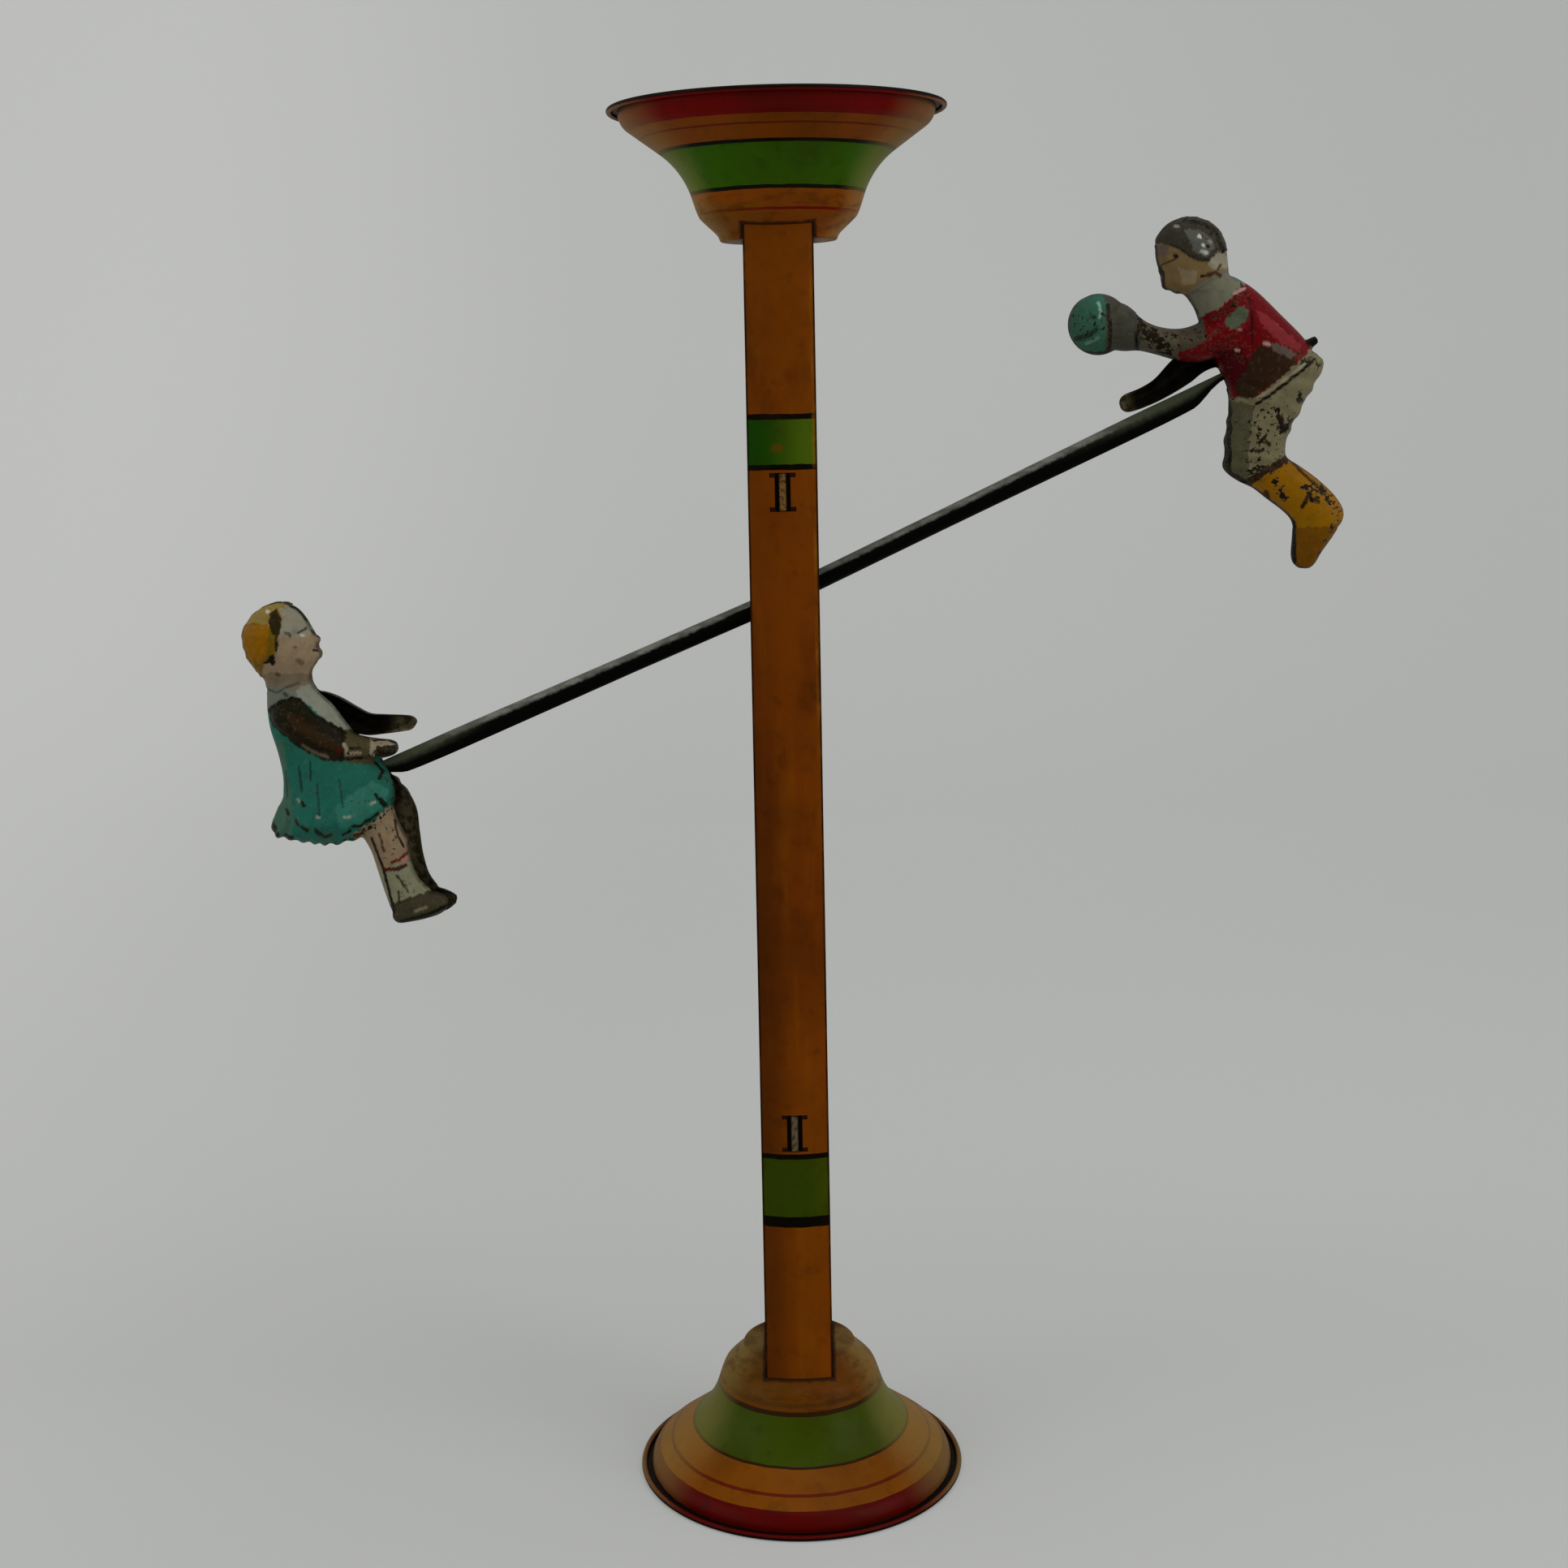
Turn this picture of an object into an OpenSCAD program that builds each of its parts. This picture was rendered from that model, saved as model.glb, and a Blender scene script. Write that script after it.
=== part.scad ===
// Tinplate see-saw toy: two bell ends, a pressed column between them, and a
// tube beam with two riders that steps down the column as it rocks.
// Millimetres, +Z up, origin at the middle of the lower bell's resting plane,
// +X along the rocking plane, -Y towards the front.

/* [Column] */
// Height from the resting plane to the rim of the upper bell
total_h = 368; // [360:1:380]
// Width of the column across the rocking plane
col_w = 18; // [17.6:0.1:18.6]
// Depth of the column from front face to back face
col_d = 33.5; // [33:0.1:34.5]
// Sheet thickness of the two column panels
col_t = 0.4; // [0.3:0.05:0.45]
// Width of the rounded face of each panel
swell_w = 17.2; // [16.8:0.1:17.4]
// How far the rounded face stands out in the middle
swell_h = 2.2; // [1.8:0.1:2.6]
// Clear width of the slot between the two panels
slot_w = 14; // [12:0.5:14.5]

/* [Bells] */
// Outside radius of the rolled rim
rim_r = 44.2; // [43:0.1:48]
// Tin thickness of the bells
bell_t = 0.5; // [0.4:0.05:0.6]
// Radius of the wire roll in the rim
bead_r = 0.7; // [0.65:0.05:0.9]
// Outside radius of the neck
waist_r = 22.6; // [22.4:0.1:23.4]
// Height of the neck above the rim plane
waist_z = 22.8; // [22.4:0.1:23.4]
// Radius of the hollow sweep below the neck
cove_r = 23; // [22.4:0.1:23.6]
// Radius of the crown's rounded side
dome_r = 16.8; // [16.6:0.1:17.2]

/* [See-saw] */
// Drop from the upper rim to the pivot in the resting pose
hub_drop = 127.5; // [127:0.5:129.5]
// Tilt of the beam at rest, right end up
rest_tilt = 23.8; // [23:0.1:24.8]
// Outside diameter of the beam tube
beam_d = 5.2; // [5:0.1:5.3]
// Wall of the beam tube
beam_t = 0.4; // [0.3:0.05:0.5]
// Upward bend of each arm of the beam
arm_rise = 1.2; // [0.8:0.1:1.6]
// Thickness of the flattened ends of the beam
leaf_t = 1.2; // [1:0.1:1.4]

/* [Escapement] */
// Distance from one tooth to the next
pitch = 11; // [11:0.1:11.2]
// Radius of the pallet pins
pin_r = 0.7; // [0.6:0.05:0.8]
// Distance of a resting pin from the middle of the column
pin_x = 7.3; // [7.1:0.1:7.4]
// Height of a resting pin above the pivot
pin_z = 2.4; // [2.2:0.1:2.6]
// Thickness of the teeth
tooth_t = 0.45; // [0.4:0.05:0.5]
// Radius of the axle
axle_r = 1; // [0.9:0.05:1.1]
// Running clearance round the axle
run = 0.05; // [0.04:0.01:0.08]

/* [Riders] */
// Tin thickness of the girl's two halves
girl_t = 0.5; // [0.45:0.05:0.6]
// Tin thickness of the boy's two halves, thinner so that the riders balance
boy_t = 0.45; // [0.4:0.05:0.5]
// Radius of the boy's ball
ball_r = 8; // [7.5:0.1:8.2]

/* [Hidden] */
$fn = 64;

// Clearances
fit = 0.02;          // pressed or folded tin against tin
seam = 0.05;         // half the gap between the two halves of a rider
hole_gap = 0.5;      // round the column where it enters a bell
hair = 0.02;         // thickness of a rider's section
bead_flat = 0.12;    // worn flat on the rim that rests on the table

// Column
q = col_d/2;                                        // front face of a panel
half_w = col_w/2;
in_x = half_w - col_t;                              // inside face of a flange
swell_r = (swell_w*swell_w/4 + swell_h*swell_h)/(2*swell_h);
swell_c = q + swell_h - swell_r;                    // centre of the swell
tab_w = 4;
tab_y = 10;
tab_len = 3;
lock_z = waist_z + 0.6;                             // underside of a lock plate
lock_t = 0.6;
lock_gap = 0.6;                                     // clears the leaning side
col_z0 = lock_z + lock_t + fit;                     // lower end of the panels
col_z1 = total_h - col_z0;                          // upper end of the panels

hub_z = total_h - hub_drop;

// Stops, one at the same distance from each rim
stop_in = 99.1;
stop_h = 10;
stop_t = 2.1;
stop_slot_w = 4.1;
stop_bar_w = 6.8;
stop_bar_h = 1.2;
stop_face_w = 7.4;                                  // plate behind each slot
stop_face_t = 0.6;
stop_face_y = swell_c + sqrt(pow(swell_r - col_t, 2) - pow(stop_face_w/2, 2)) - 0.05;
stop_hi = total_h - stop_in;
stop_lo = stop_in;

// Escapement
tooth_gap = 0.05;                                   // under a resting pin
tooth_in = 6.5;                                     // inner end of a tooth
tooth_y0 = 8.2;
tooth_y1 = 11.4;
tooth_top = hub_z + pin_z - pin_r - tooth_gap;      // left tooth under the pin
// Pin positions in the see-saw's level frame
pin_px = pin_x*cos(rest_tilt) - pin_z*sin(rest_tilt);
pin_pz = pin_x*sin(rest_tilt) + pin_z*cos(rest_tilt);
pin_a = atan2(pin_pz, pin_px);
pin_rad = norm([pin_px, pin_pz]);
pin_y = 11.2;
plate_t = 0.5;
plate_y = beam_d/2 + fit;                           // inner face of a pallet plate
rivet_x = 5;
rivet_r = 0.6;
guide_y = 13;                                       // inner face of a guide plate
guide_t = 0.6;
guide_w = 2*(in_x - 0.1);
guide_h = 24;
// Teeth below the rest one, down to where the guide plates meet the lower stop
teeth_down = floor((tooth_top - stop_lo - stop_h/2 - guide_h/2)/pitch);
axle_gap = 0.25;                                    // from the axle's end to the swell
axle_y = q + swell_h - col_t - axle_gap;
spacer_r = 1.7;
washer_r = 2.6;
washer_t = 0.6;

// Beam
arm_x = 104;                                        // where the round tube ends
leaf_x = 111;                                       // where it is fully flat
left_tip = 122;                                     // end of the left tab
right_tip = 133;                                    // end of the right tab
seat_x = -0.6;                                      // riders' frame from the pivot
seat_z = -1.4;
// Room in the riders for the beam's ends: from beyond the tip, length, underside, height
tip_gap = 2;
left_room = 14;
left_room_z = -1.4;
left_room_h = 5.1;
right_room = 18;
right_room_z = -2.9;
right_room_h = 6.4;
beam_r = beam_d/2;

// Riders: each section is [x, z, tilt, half width, half depth] in the beam's
// own level frame, and runs from the seam outwards.
girl_head = [
    [-129.8, 36.5, -25, 6.3, 5.6],     // neck
    [-129.6, 39.5, -25, 7.3, 6.6],
    [-128.5, 42.2, -25, 9.2, 8.2],     // chin
    [-127.9, 44.5, -25, 9.8, 8.8],
    [-126.9, 48.0, -25, 9.9, 9.2],     // nose
    [-126.2, 50.3, -25, 9.1, 8.6],
    [-124.9, 53.0, -25, 7.4, 6.8],
    [-123.6, 55.0, -25, 5.1, 4.6],
    [-122.5, 56.2, -25, 2.2, 2.0]];    // crown
girl_body = [
    [-129.8, 37.5, -25, 6.2, 5.6],     // neck
    [-130.1, 33.7, -25, 6.9, 6.4],     // collar
    [-130.1, 29.1, -21, 8.8, 8.0],     // shoulders
    [-130.3, 23.5, -20, 10.3, 8.6],
    [-130.0, 16.4, -19, 11.7, 8.6],
    [-129.4, 9.8, -18, 13.9, 9.2],     // waist
    [-130.6, 5.0, -16, 15.0, 10.2],
    [-132.7, 1.7, -16, 16.2, 11.0],
    [-135.4, -1.9, -12, 17.0, 11.4],   // hem
    [-136.0, -5.2, -14, 12.8, 9.0],
    [-135.0, -8.6, -14, 6.5, 5.0]];
girl_near_arm = [
    [-134.9, 31.6, 20, 2.8, 6.5],      // shoulder
    [-134.2, 29.0, 25, 4.2, 9.2],
    [-131.6, 23.9, 32, 4.5, 9.8],
    [-127.9, 18.9, 42, 4.2, 9.6],      // elbow
    [-123.8, 14.9, 50, 3.8, 8.6],
    [-119.9, 12.1, 57, 3.2, 7.4],      // cuff
    [-115.7, 9.9, 64, 2.7, 6.6],
    [-112.2, 8.6, 70, 2.0, 5.8],
    [-110.9, 8.2, 72, 0.9, 4.6]];      // fingertips
girl_far_arm = [
    [-129.5, 30.5, 20, 3.6, 8.2],      // shoulder
    [-126.0, 28.0, 30, 3.8, 8.6],
    [-122.6, 25.2, 32, 3.3, 8.6],
    [-119.5, 20.9, 38, 3.3, 8.0],      // elbow
    [-116.1, 17.2, 54, 3.0, 7.4],
    [-111.7, 15.2, 66, 2.6, 6.6],
    [-107.2, 13.4, 68, 2.2, 5.8],
    [-105.0, 12.5, 68, 1.8, 5.2],
    [-104.0, 12.1, 68, 0.8, 4.0]];     // fingertips
girl_near_leg = [
    [-124.9, 0.0, 0, 6.2, 8.0],        // hip
    [-124.9, -5.0, 2, 5.8, 7.6],
    [-124.9, -10.0, 0, 5.2, 7.0],
    [-124.8, -15.0, -7, 5.1, 6.6],
    [-125.9, -20.2, -10, 4.7, 6.2],    // knee
    [-126.5, -25.6, -7, 4.9, 6.0],
    [-126.1, -30.5, 3, 5.9, 6.2],      // ankle
    [-126.0, -32.5, 8, 6.0, 6.0]];
girl_near_foot = [
    [-131.7, -32.3, 67, 1.8, 3.8],     // heel
    [-130.1, -33.0, 60, 2.8, 5.2],
    [-126.5, -33.4, 62, 3.5, 5.8],
    [-123.4, -33.9, 64, 3.7, 5.8],
    [-119.8, -34.9, 68, 3.1, 5.0],
    [-117.9, -35.6, 66, 2.0, 3.8],
    [-117.0, -35.9, 66, 0.8, 2.2]];    // toe
girl_far_leg = [
    [-120.2, 4.0, 0, 3.4, 7.4],        // hip
    [-118.4, -2.0, -8, 4.0, 7.6],
    [-118.2, -8.5, -8, 4.2, 7.2],
    [-119.6, -14.0, -14, 3.8, 6.6],    // knee
    [-121.3, -19.4, -20, 3.8, 6.2],
    [-122.4, -25.4, -16, 3.8, 6.0],
    [-122.2, -30.3, -8, 4.2, 6.0]];    // ankle
girl_far_foot = [
    [-126.8, -32.2, 64, 1.8, 3.8],     // heel
    [-124.6, -32.6, 62, 3.0, 5.2],
    [-120.3, -34.0, 64, 3.5, 5.8],
    [-117.1, -35.5, 60, 2.5, 4.6],
    [-115.0, -36.1, 62, 1.0, 2.4]];    // toe

boy_head = [
    [137.4, 46.8, -25, 2.0, 1.8],      // crown
    [137.1, 45.9, -25, 4.4, 4.0],
    [136.5, 44.5, -25, 6.6, 6.0],
    [135.5, 42.3, -25, 8.3, 7.6],
    [134.4, 39.4, -25, 9.1, 8.5],      // brow
    [133.5, 36.4, -25, 9.2, 8.8],
    [132.8, 33.2, -25, 8.9, 8.4],
    [132.5, 30.3, -25, 9.2, 7.6],      // chin
    [134.0, 27.6, -20, 8.2, 6.8]];
boy_body = [
    [134.4, 30.0, -14, 7.4, 6.6],      // neck
    [136.2, 26.4, -8, 7.6, 7.0],
    [137.5, 22.7, -9, 8.5, 8.2],       // shoulders
    [138.6, 16.1, -11, 10.3, 9.0],
    [140.0, 9.2, -13, 11.9, 9.2],
    [140.4, 4.7, -9, 11.9, 9.0],
    [141.2, 0.7, -6, 12.7, 9.4],       // hem of the jersey
    [139.5, -3.3, -3, 12.9, 9.4],
    [136.5, -6.5, -5, 11.3, 8.8],
    [132.1, -10.7, -13, 9.1, 8.0],
    [129.2, -14.6, -10, 8.4, 7.4],
    [127.5, -18.3, -9, 8.2, 7.0],      // knee
    [128.6, -21.2, -1, 7.2, 6.4],
    [131.2, -24.8, -4, 7.1, 6.0],
    [133.6, -29.3, -6, 7.3, 5.8],      // calf
    [136.0, -34.7, -11, 7.2, 5.6],
    [136.4, -38.9, -17, 6.8, 5.6],     // ankle
    [133.6, -42.4, -20, 5.5, 5.2],
    [130.1, -45.9, -20, 4.0, 4.4],
    [128.4, -48.2, -26, 2.8, 3.2],
    [127.9, -49.4, -26, 1.4, 1.6]];    // toe
boy_near_arm = [
    [138.2, 16.0, 80, 6.5, 8.6],       // shoulder
    [135.5, 15.8, 75, 7.2, 9.8],
    [131.5, 16.3, 69, 6.0, 9.6],
    [126.1, 16.4, 67, 5.1, 8.8],       // elbow
    [121.3, 18.3, 61, 4.1, 7.6],
    [116.9, 21.5, 56, 3.6, 6.8],       // wrist
    [113.7, 24.4, 56, 4.0, 6.8],
    [111.4, 26.8, 54, 5.4, 7.4],
    [109.5, 28.8, 55, 6.1, 8.0],       // palm
    [107.0, 30.6, 57, 5.9, 6.6]];
boy_far_arm = [
    [131.5, 12.5, 98, 5.0, 8.0],       // shoulder
    [127.0, 13.0, 100, 4.4, 7.8],
    [123.4, 12.6, 102, 4.0, 7.6],
    [118.7, 11.2, 106, 3.8, 7.0],      // elbow
    [112.8, 9.7, 98, 2.9, 6.2],
    [107.8, 9.4, 88, 2.6, 5.8],
    [103.2, 9.8, 82, 2.4, 5.0],
    [101.7, 9.9, 82, 1.4, 3.8]];       // hand
boy_seat_tab = [
    [149.0, 3.4, 90, 1.3, 1.9],        // folded end of the seam at the seat
    [152.5, 3.9, 90, 1.3, 1.7],
    [154.8, 4.2, 90, 1.0, 1.4]];
ball_c = [104.8, 31.7];

function arc(c, r, a0, a1, n) =
    [for (i = [0:n]) [c[0] + r*cos(a0 + (a1 - a0)*i/n), c[1] + r*sin(a0 + (a1 - a0)*i/n)]];

// A bell's side, from the rim flange up to the crown, at depth d inside the skin
neck_a = 18;                                        // lean of the side at the neck
crown_a0 = 19;
crown_a1 = 57;
neck_run = 3;                                       // plain cone over the neck
crown_c = [waist_r - neck_run*tan(neck_a) - dome_r*cos(crown_a0),
    waist_z + neck_run - dome_r*sin(crown_a0)];
crown_z = crown_c[1] + dome_r*sin(crown_a1);        // flat top of the crown
function bell_side(d) = let (
    shoulder_c = [rim_r - 8, bead_r + 0.6],
    cove_c = [waist_r + cove_r*cos(neck_a), waist_z + cove_r*sin(neck_a)]) concat(
    [[rim_r - 3.1, bead_r + 0.05 - d]],
    arc(shoulder_c, 5 - d, 0, 55, 6),
    arc(cove_c, cove_r + d, 235, 180 + neck_a, 6),
    arc(crown_c, dome_r - d, crown_a0, crown_a1 - 3*d, 6),
    [[crown_c[0] + dome_r*cos(crown_a1) - 1.2, crown_z - d]]);

module column_outline(grow) {
    union() {
        translate([-half_w - grow, -q - grow]) square([col_w + 2*grow, col_d + 2*grow]);
        intersection() {
            union() {
                translate([0, swell_c]) circle(swell_r + grow);
                translate([0, -swell_c]) circle(swell_r + grow);
            }
            translate([-half_w, -q - 5]) square([col_w, col_d + 10]);
        }
    }
}

module bell() {
    difference() {
        union() {
            rotate_extrude() union() {
                polygon(concat(bell_side(0), [[0, crown_z]],
                    [[0, crown_z - bell_t]],
                    [for (i = [len(bell_side(0)) - 1:-1:0]) bell_side(bell_t)[i]]));
                translate([rim_r - 3.4, bead_r + 0.05 - bell_t]) square([3.2, bell_t]);
                intersection() {
                    translate([rim_r - bead_r, bead_r - bead_flat]) circle(bead_r);
                    translate([rim_r - 3, 0]) square([4, 3]);
                }
            }
        }
        translate([0, 0, waist_z]) linear_extrude(20) column_outline(hole_gap);
    }
}

module panel_section() {
    difference() {
        intersection() {
            union() {
                translate([-half_w, slot_w/2]) square([col_w, q - slot_w/2]);
                translate([0, swell_c]) circle(swell_r);
            }
            translate([-half_w, slot_w/2]) square([col_w, q]);
        }
        union() {
            translate([-in_x, slot_w/2 - 1]) square([2*in_x, q - col_t - slot_w/2 + 1]);
            intersection() {
                translate([0, swell_c]) circle(swell_r - col_t);
                translate([-in_x, slot_w/2]) square([2*in_x, q]);
            }
        }
    }
}

// One tooth: a tongue pressed inwards out of the flange, so it leaves a window
module tooth_window(z, side) {
    translate([side > 0 ? in_x - 0.1 : -half_w - 0.1, tooth_y0, z - tooth_t - 2.1])
        cube([col_t + 0.2, tooth_y1 - tooth_y0, 2.1]);
}

module tooth(z, side) {
    translate([side > 0 ? tooth_in : -in_x - 0.1, tooth_y0, z - tooth_t])
        cube([in_x - tooth_in + 0.1, tooth_y1 - tooth_y0, tooth_t]);
}

module stop_slot(z) {
    translate([-stop_slot_w/2, q - 1, z - stop_h/2]) cube([stop_slot_w, 5, stop_h]);
    for (e = [-1, 1])
        translate([-stop_bar_w/2, q - 1, z + e*(stop_h - stop_bar_h)/2 - stop_bar_h/2])
            cube([stop_bar_w, 5, stop_bar_h]);
}

// Tabs at one end of a panel, bent inwards under the lock plate
module end_tabs() {
    for (s = [-1, 1]) {
        translate([s > 0 ? in_x : -half_w, tab_y, lock_z - 0.5]) cube([col_t, tab_w, 1.5]);
        translate([s > 0 ? half_w - tab_len : -half_w, tab_y, lock_z - 0.5])
            cube([tab_len, tab_w, col_t]);
    }
}

module panel() {
    difference() {
        union() {
            translate([0, 0, col_z0]) linear_extrude(col_z1 - col_z0) panel_section();
            end_tabs();
            translate([0, 0, total_h]) mirror([0, 0, 1]) end_tabs();
            for (n = [-teeth_down:1]) tooth(tooth_top + n*pitch, -1);
            for (n = [1 - teeth_down:1]) tooth(tooth_top + (n - 0.5)*pitch, 1);
        }
        for (n = [-teeth_down:1]) tooth_window(tooth_top + n*pitch, -1);
        for (n = [1 - teeth_down:1]) tooth_window(tooth_top + (n - 0.5)*pitch, 1);
        stop_slot(stop_hi);
        stop_slot(stop_lo);
    }
}

module lock_plate() {
    difference() {
        translate([0, 0, lock_z]) cylinder(h = lock_t, r = waist_r - bell_t - lock_gap);
        translate([0, 0, lock_z - 1]) cylinder(h = 3, r = 5);
        for (s = [-1, 1], e = [-1, 1])
            translate([s*(half_w - col_t/2) - col_t/2 - 0.1,
                e*(tab_y + tab_w/2) - tab_w/2 - 0.1, lock_z - 1])
                cube([col_t + 0.2, tab_w + 0.2, 3]);
    }
}

module stop_bracket(z) {
    reach = q + swell_h + 0.5;
    union() {
        translate([-stop_t/2, -stop_face_y, z - stop_h/2]) cube([stop_t, 2*stop_face_y, stop_h]);
        for (e = [-1, 1])
            translate([-stop_face_w/2, e*(stop_face_y - stop_face_t/2) - stop_face_t/2, z - stop_h/2])
                cube([stop_face_w, stop_face_t, stop_h]);
        translate([-stop_t/2, -reach, z - stop_h/2 + 0.4]) cube([stop_t, 2*reach, stop_h - 0.8]);
    }
}

// Places the see-saw's own level frame at the pivot, tilted as it rests
module at_rest() {
    translate([0, 0, hub_z]) rotate([0, -rest_tilt, 0]) children();
}

module across(y, h, r) {
    translate([0, y, 0]) rotate([-90, 0, 0]) cylinder(h = h, r = r);
}

module guide_plate() {
    translate([0, 0, hub_z]) difference() {
        translate([-guide_w/2, guide_y, -guide_h/2]) cube([guide_w, guide_t, guide_h]);
        across(guide_y - 1, 3, axle_r + fit);
    }
}

module spacer() {
    translate([0, 0, hub_z]) difference() {
        across(plate_y + plate_t + 0.03, guide_y - plate_y - plate_t - 0.08, spacer_r);
        across(0, 20, axle_r + fit);
    }
}

module washer() {
    translate([0, 0, hub_z]) difference() {
        across(guide_y + guide_t + fit, washer_t, washer_r);
        across(guide_y, 3, axle_r + fit);
    }
}

module pallet_plate() {
    at_rest() translate([0, plate_y + plate_t, 0]) rotate([90, 0, 0]) linear_extrude(plate_t)
        difference() {
            union() {
                circle(3.4);
                translate([-rivet_x - 1.6, -1.6]) square([2*rivet_x + 3.2, 3.2]);
                for (s = [-1, 1]) {
                    translate([s*pin_px, pin_pz]) circle(1.7);
                    rotate(s > 0 ? pin_a : 180 - pin_a) translate([0, -1.4]) square([pin_rad, 2.8]);
                }
            }
            circle(axle_r + run);
            for (s = [-1, 1]) {
                translate([s*rivet_x, 0]) circle(rivet_r + fit);
                translate([s*pin_px, pin_pz]) circle(pin_r + fit);
            }
        }
}

// Half of the beam, towards +x: a round tube drawn down to a flat leaf and tab
module leaf_outline(left) {
    low = -beam_r;
    tip = left ? left_tip : right_tip;
    s = left ? -6 : 0;
    polygon([[leaf_x + s - 0.5, low - 0.3], [118 + s, low - 0.1], [121 + s, low + 0.9],
        [124 + s, low + 2.3], [127 + s, low + 3.2], [129 + s, low + 3.4], [tip, low + 3.4],
        [tip, low + 5.2], [129 + s, low + 5.2], [leaf_x + s - 0.5, low + 5.3]]);
}

module beam_arm(left) {
    s = left ? -6 : 0;
    rotate([0, -arm_rise, 0]) union() {
        hull() {
            translate([arm_x + s, 0, 0]) rotate([0, 90, 0])
                cylinder(h = 0.3, r = beam_r + 0.04, $fn = 32);
            translate([leaf_x + s - 0.4, -leaf_t/2 - 0.02, -beam_r - 0.32])
                cube([0.4, leaf_t + 0.04, 2*beam_r + 0.64]);
        }
        translate([0, leaf_t/2, 0]) rotate([90, 0, 0]) linear_extrude(leaf_t) leaf_outline(left);
    }
}

// The round part of one arm, mitred where the two arms meet at the pivot
module beam_tube(r, len) {
    intersection() {
        rotate([0, -arm_rise, 0]) translate([-4, 0, 0]) rotate([0, 90, 0]) cylinder(h = len + 4, r = r);
        translate([0, -beam_d, -2*beam_d]) cube([right_tip + 2*beam_d, 2*beam_d, 6*beam_d]);
    }
}

module beam_holes() {
    across(-beam_d, 2*beam_d, axle_r + run);
    for (s = [-1, 1]) translate([s*rivet_x, 0, 0]) across(-beam_d, 2*beam_d, rivet_r + fit);
}

// A section of a rider from the seam outwards, cut open towards the seam for the inside
function half_oval(w, d, open) = concat(open > 0 ? [[-w, open], [w, open]] : [],
    [for (i = [0:8]) [w*cos(22.5*i), -seam - (d - seam)*sin(22.5*i)]]);

module section(s, inset, open) {
    translate([s[0], 0, s[1]]) rotate([0, -s[2], 0]) linear_extrude(hair, center = true)
        polygon(half_oval(max(s[3] - inset, 0.3), max(s[4] - inset, 0.3), open));
}

// The same sections with both ends drawn in by t along the line of centres
function drawn_in(s, t) = let (n = len(s) - 1) [for (i = [0:n])
    let (k = i == 0 ? 1 : i == n ? n - 1 : i, v = [s[k][0] - s[i][0], s[k][1] - s[i][1]],
        g = norm(v) > 0 ? t/norm(v) : 0)
    [s[i][0] + v[0]*g, s[i][1] + v[1]*g, s[i][2], s[i][3], s[i][4]]];

module loft(s, inset, open) {
    for (i = [0:len(s) - 2]) hull() {
        section(s[i], inset, open);
        section(s[i + 1], inset, open);
    }
}

// A pressed half: the skin over its lofts, hollow and open at the seam
module pressed_half(lofts, t) {
    difference() {
        union() for (s = lofts) loft(s, 0, 0);
        union() for (s = lofts) loft(drawn_in(s, t), t, 1);
        translate([-seat_x, 0, -seat_z]) beam_slot();
    }
}

// Room for the beam's flat ends where they pass into the riders
module beam_slot() {
    rotate([0, arm_rise, 0]) translate([-left_tip - tip_gap, -leaf_t/2 - 0.1, left_room_z])
        cube([left_room, leaf_t + 0.2, left_room_h]);
    rotate([0, -arm_rise, 0]) translate([right_tip + tip_gap/2 - right_room, -leaf_t/2 - 0.1, right_room_z])
        cube([right_room, leaf_t + 0.2, right_room_h]);
}

module base_bell() { color("darkred") bell(); }

module top_bell() { color("darkred") translate([0, 0, total_h]) rotate([180, 0, 0]) bell(); }

module column_front_panel() { color("saddlebrown") mirror([0, 1, 0]) panel(); }

module column_back_panel() { color("saddlebrown") panel(); }

module base_lock_plate() { color("silver") lock_plate(); }

module top_lock_plate() {
    color("silver") translate([0, 0, total_h]) rotate([180, 0, 0]) lock_plate();
}

module upper_stop_bracket() { color("silver") stop_bracket(stop_hi); }

module lower_stop_bracket() { color("silver") stop_bracket(stop_lo); }

module front_guide_plate() { color("gray") mirror([0, 1, 0]) guide_plate(); }

module back_guide_plate() { color("gray") guide_plate(); }

module axle() {
    color("silver") translate([0, 0, hub_z]) across(-axle_y, 2*axle_y, axle_r);
}

module front_spacer_tube() { color("gray") mirror([0, 1, 0]) spacer(); }

module back_spacer_tube() { color("gray") spacer(); }

module axle_washers() {
    color("silver") {
        washer();
        mirror([0, 1, 0]) washer();
    }
}

module beam() {
    color("dimgray") at_rest() difference() {
        union() {
            beam_tube(beam_r, arm_x + 0.2);
            mirror([1, 0, 0]) beam_tube(beam_r, arm_x - 5.8);
            beam_arm(false);
            mirror([1, 0, 0]) beam_arm(true);
        }
        beam_tube(beam_r - beam_t, arm_x - 1);
        mirror([1, 0, 0]) beam_tube(beam_r - beam_t, arm_x - 7);
        beam_holes();
    }
}

module front_pallet_plate() { color("gray") mirror([0, 1, 0]) pallet_plate(); }

module back_pallet_plate() { color("gray") pallet_plate(); }

module pallet_pins() {
    color("silver") at_rest() for (s = [-1, 1])
        translate([s*pin_px, 0, pin_pz]) across(-pin_y, 2*pin_y, pin_r);
}

module beam_rivets() {
    color("silver") at_rest() for (s = [-1, 1]) translate([s*rivet_x, 0, 0]) {
        across(-plate_y - plate_t - fit - 0.5, 2*(plate_y + plate_t + fit + 0.5), rivet_r);
        for (e = [0, 1]) mirror([0, e, 0]) across(plate_y + plate_t + fit, 0.5, 1.2);
    }
}

module girl_near_half() {
    color("teal") on_beam() pressed_half([girl_head, girl_body, girl_near_arm,
        girl_near_leg, girl_near_foot], girl_t);
}

module girl_far_half() {
    color("teal") on_beam() mirror([0, 1, 0]) pressed_half([girl_head, girl_body, girl_far_arm,
        girl_far_leg, girl_far_foot], girl_t);
}

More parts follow.
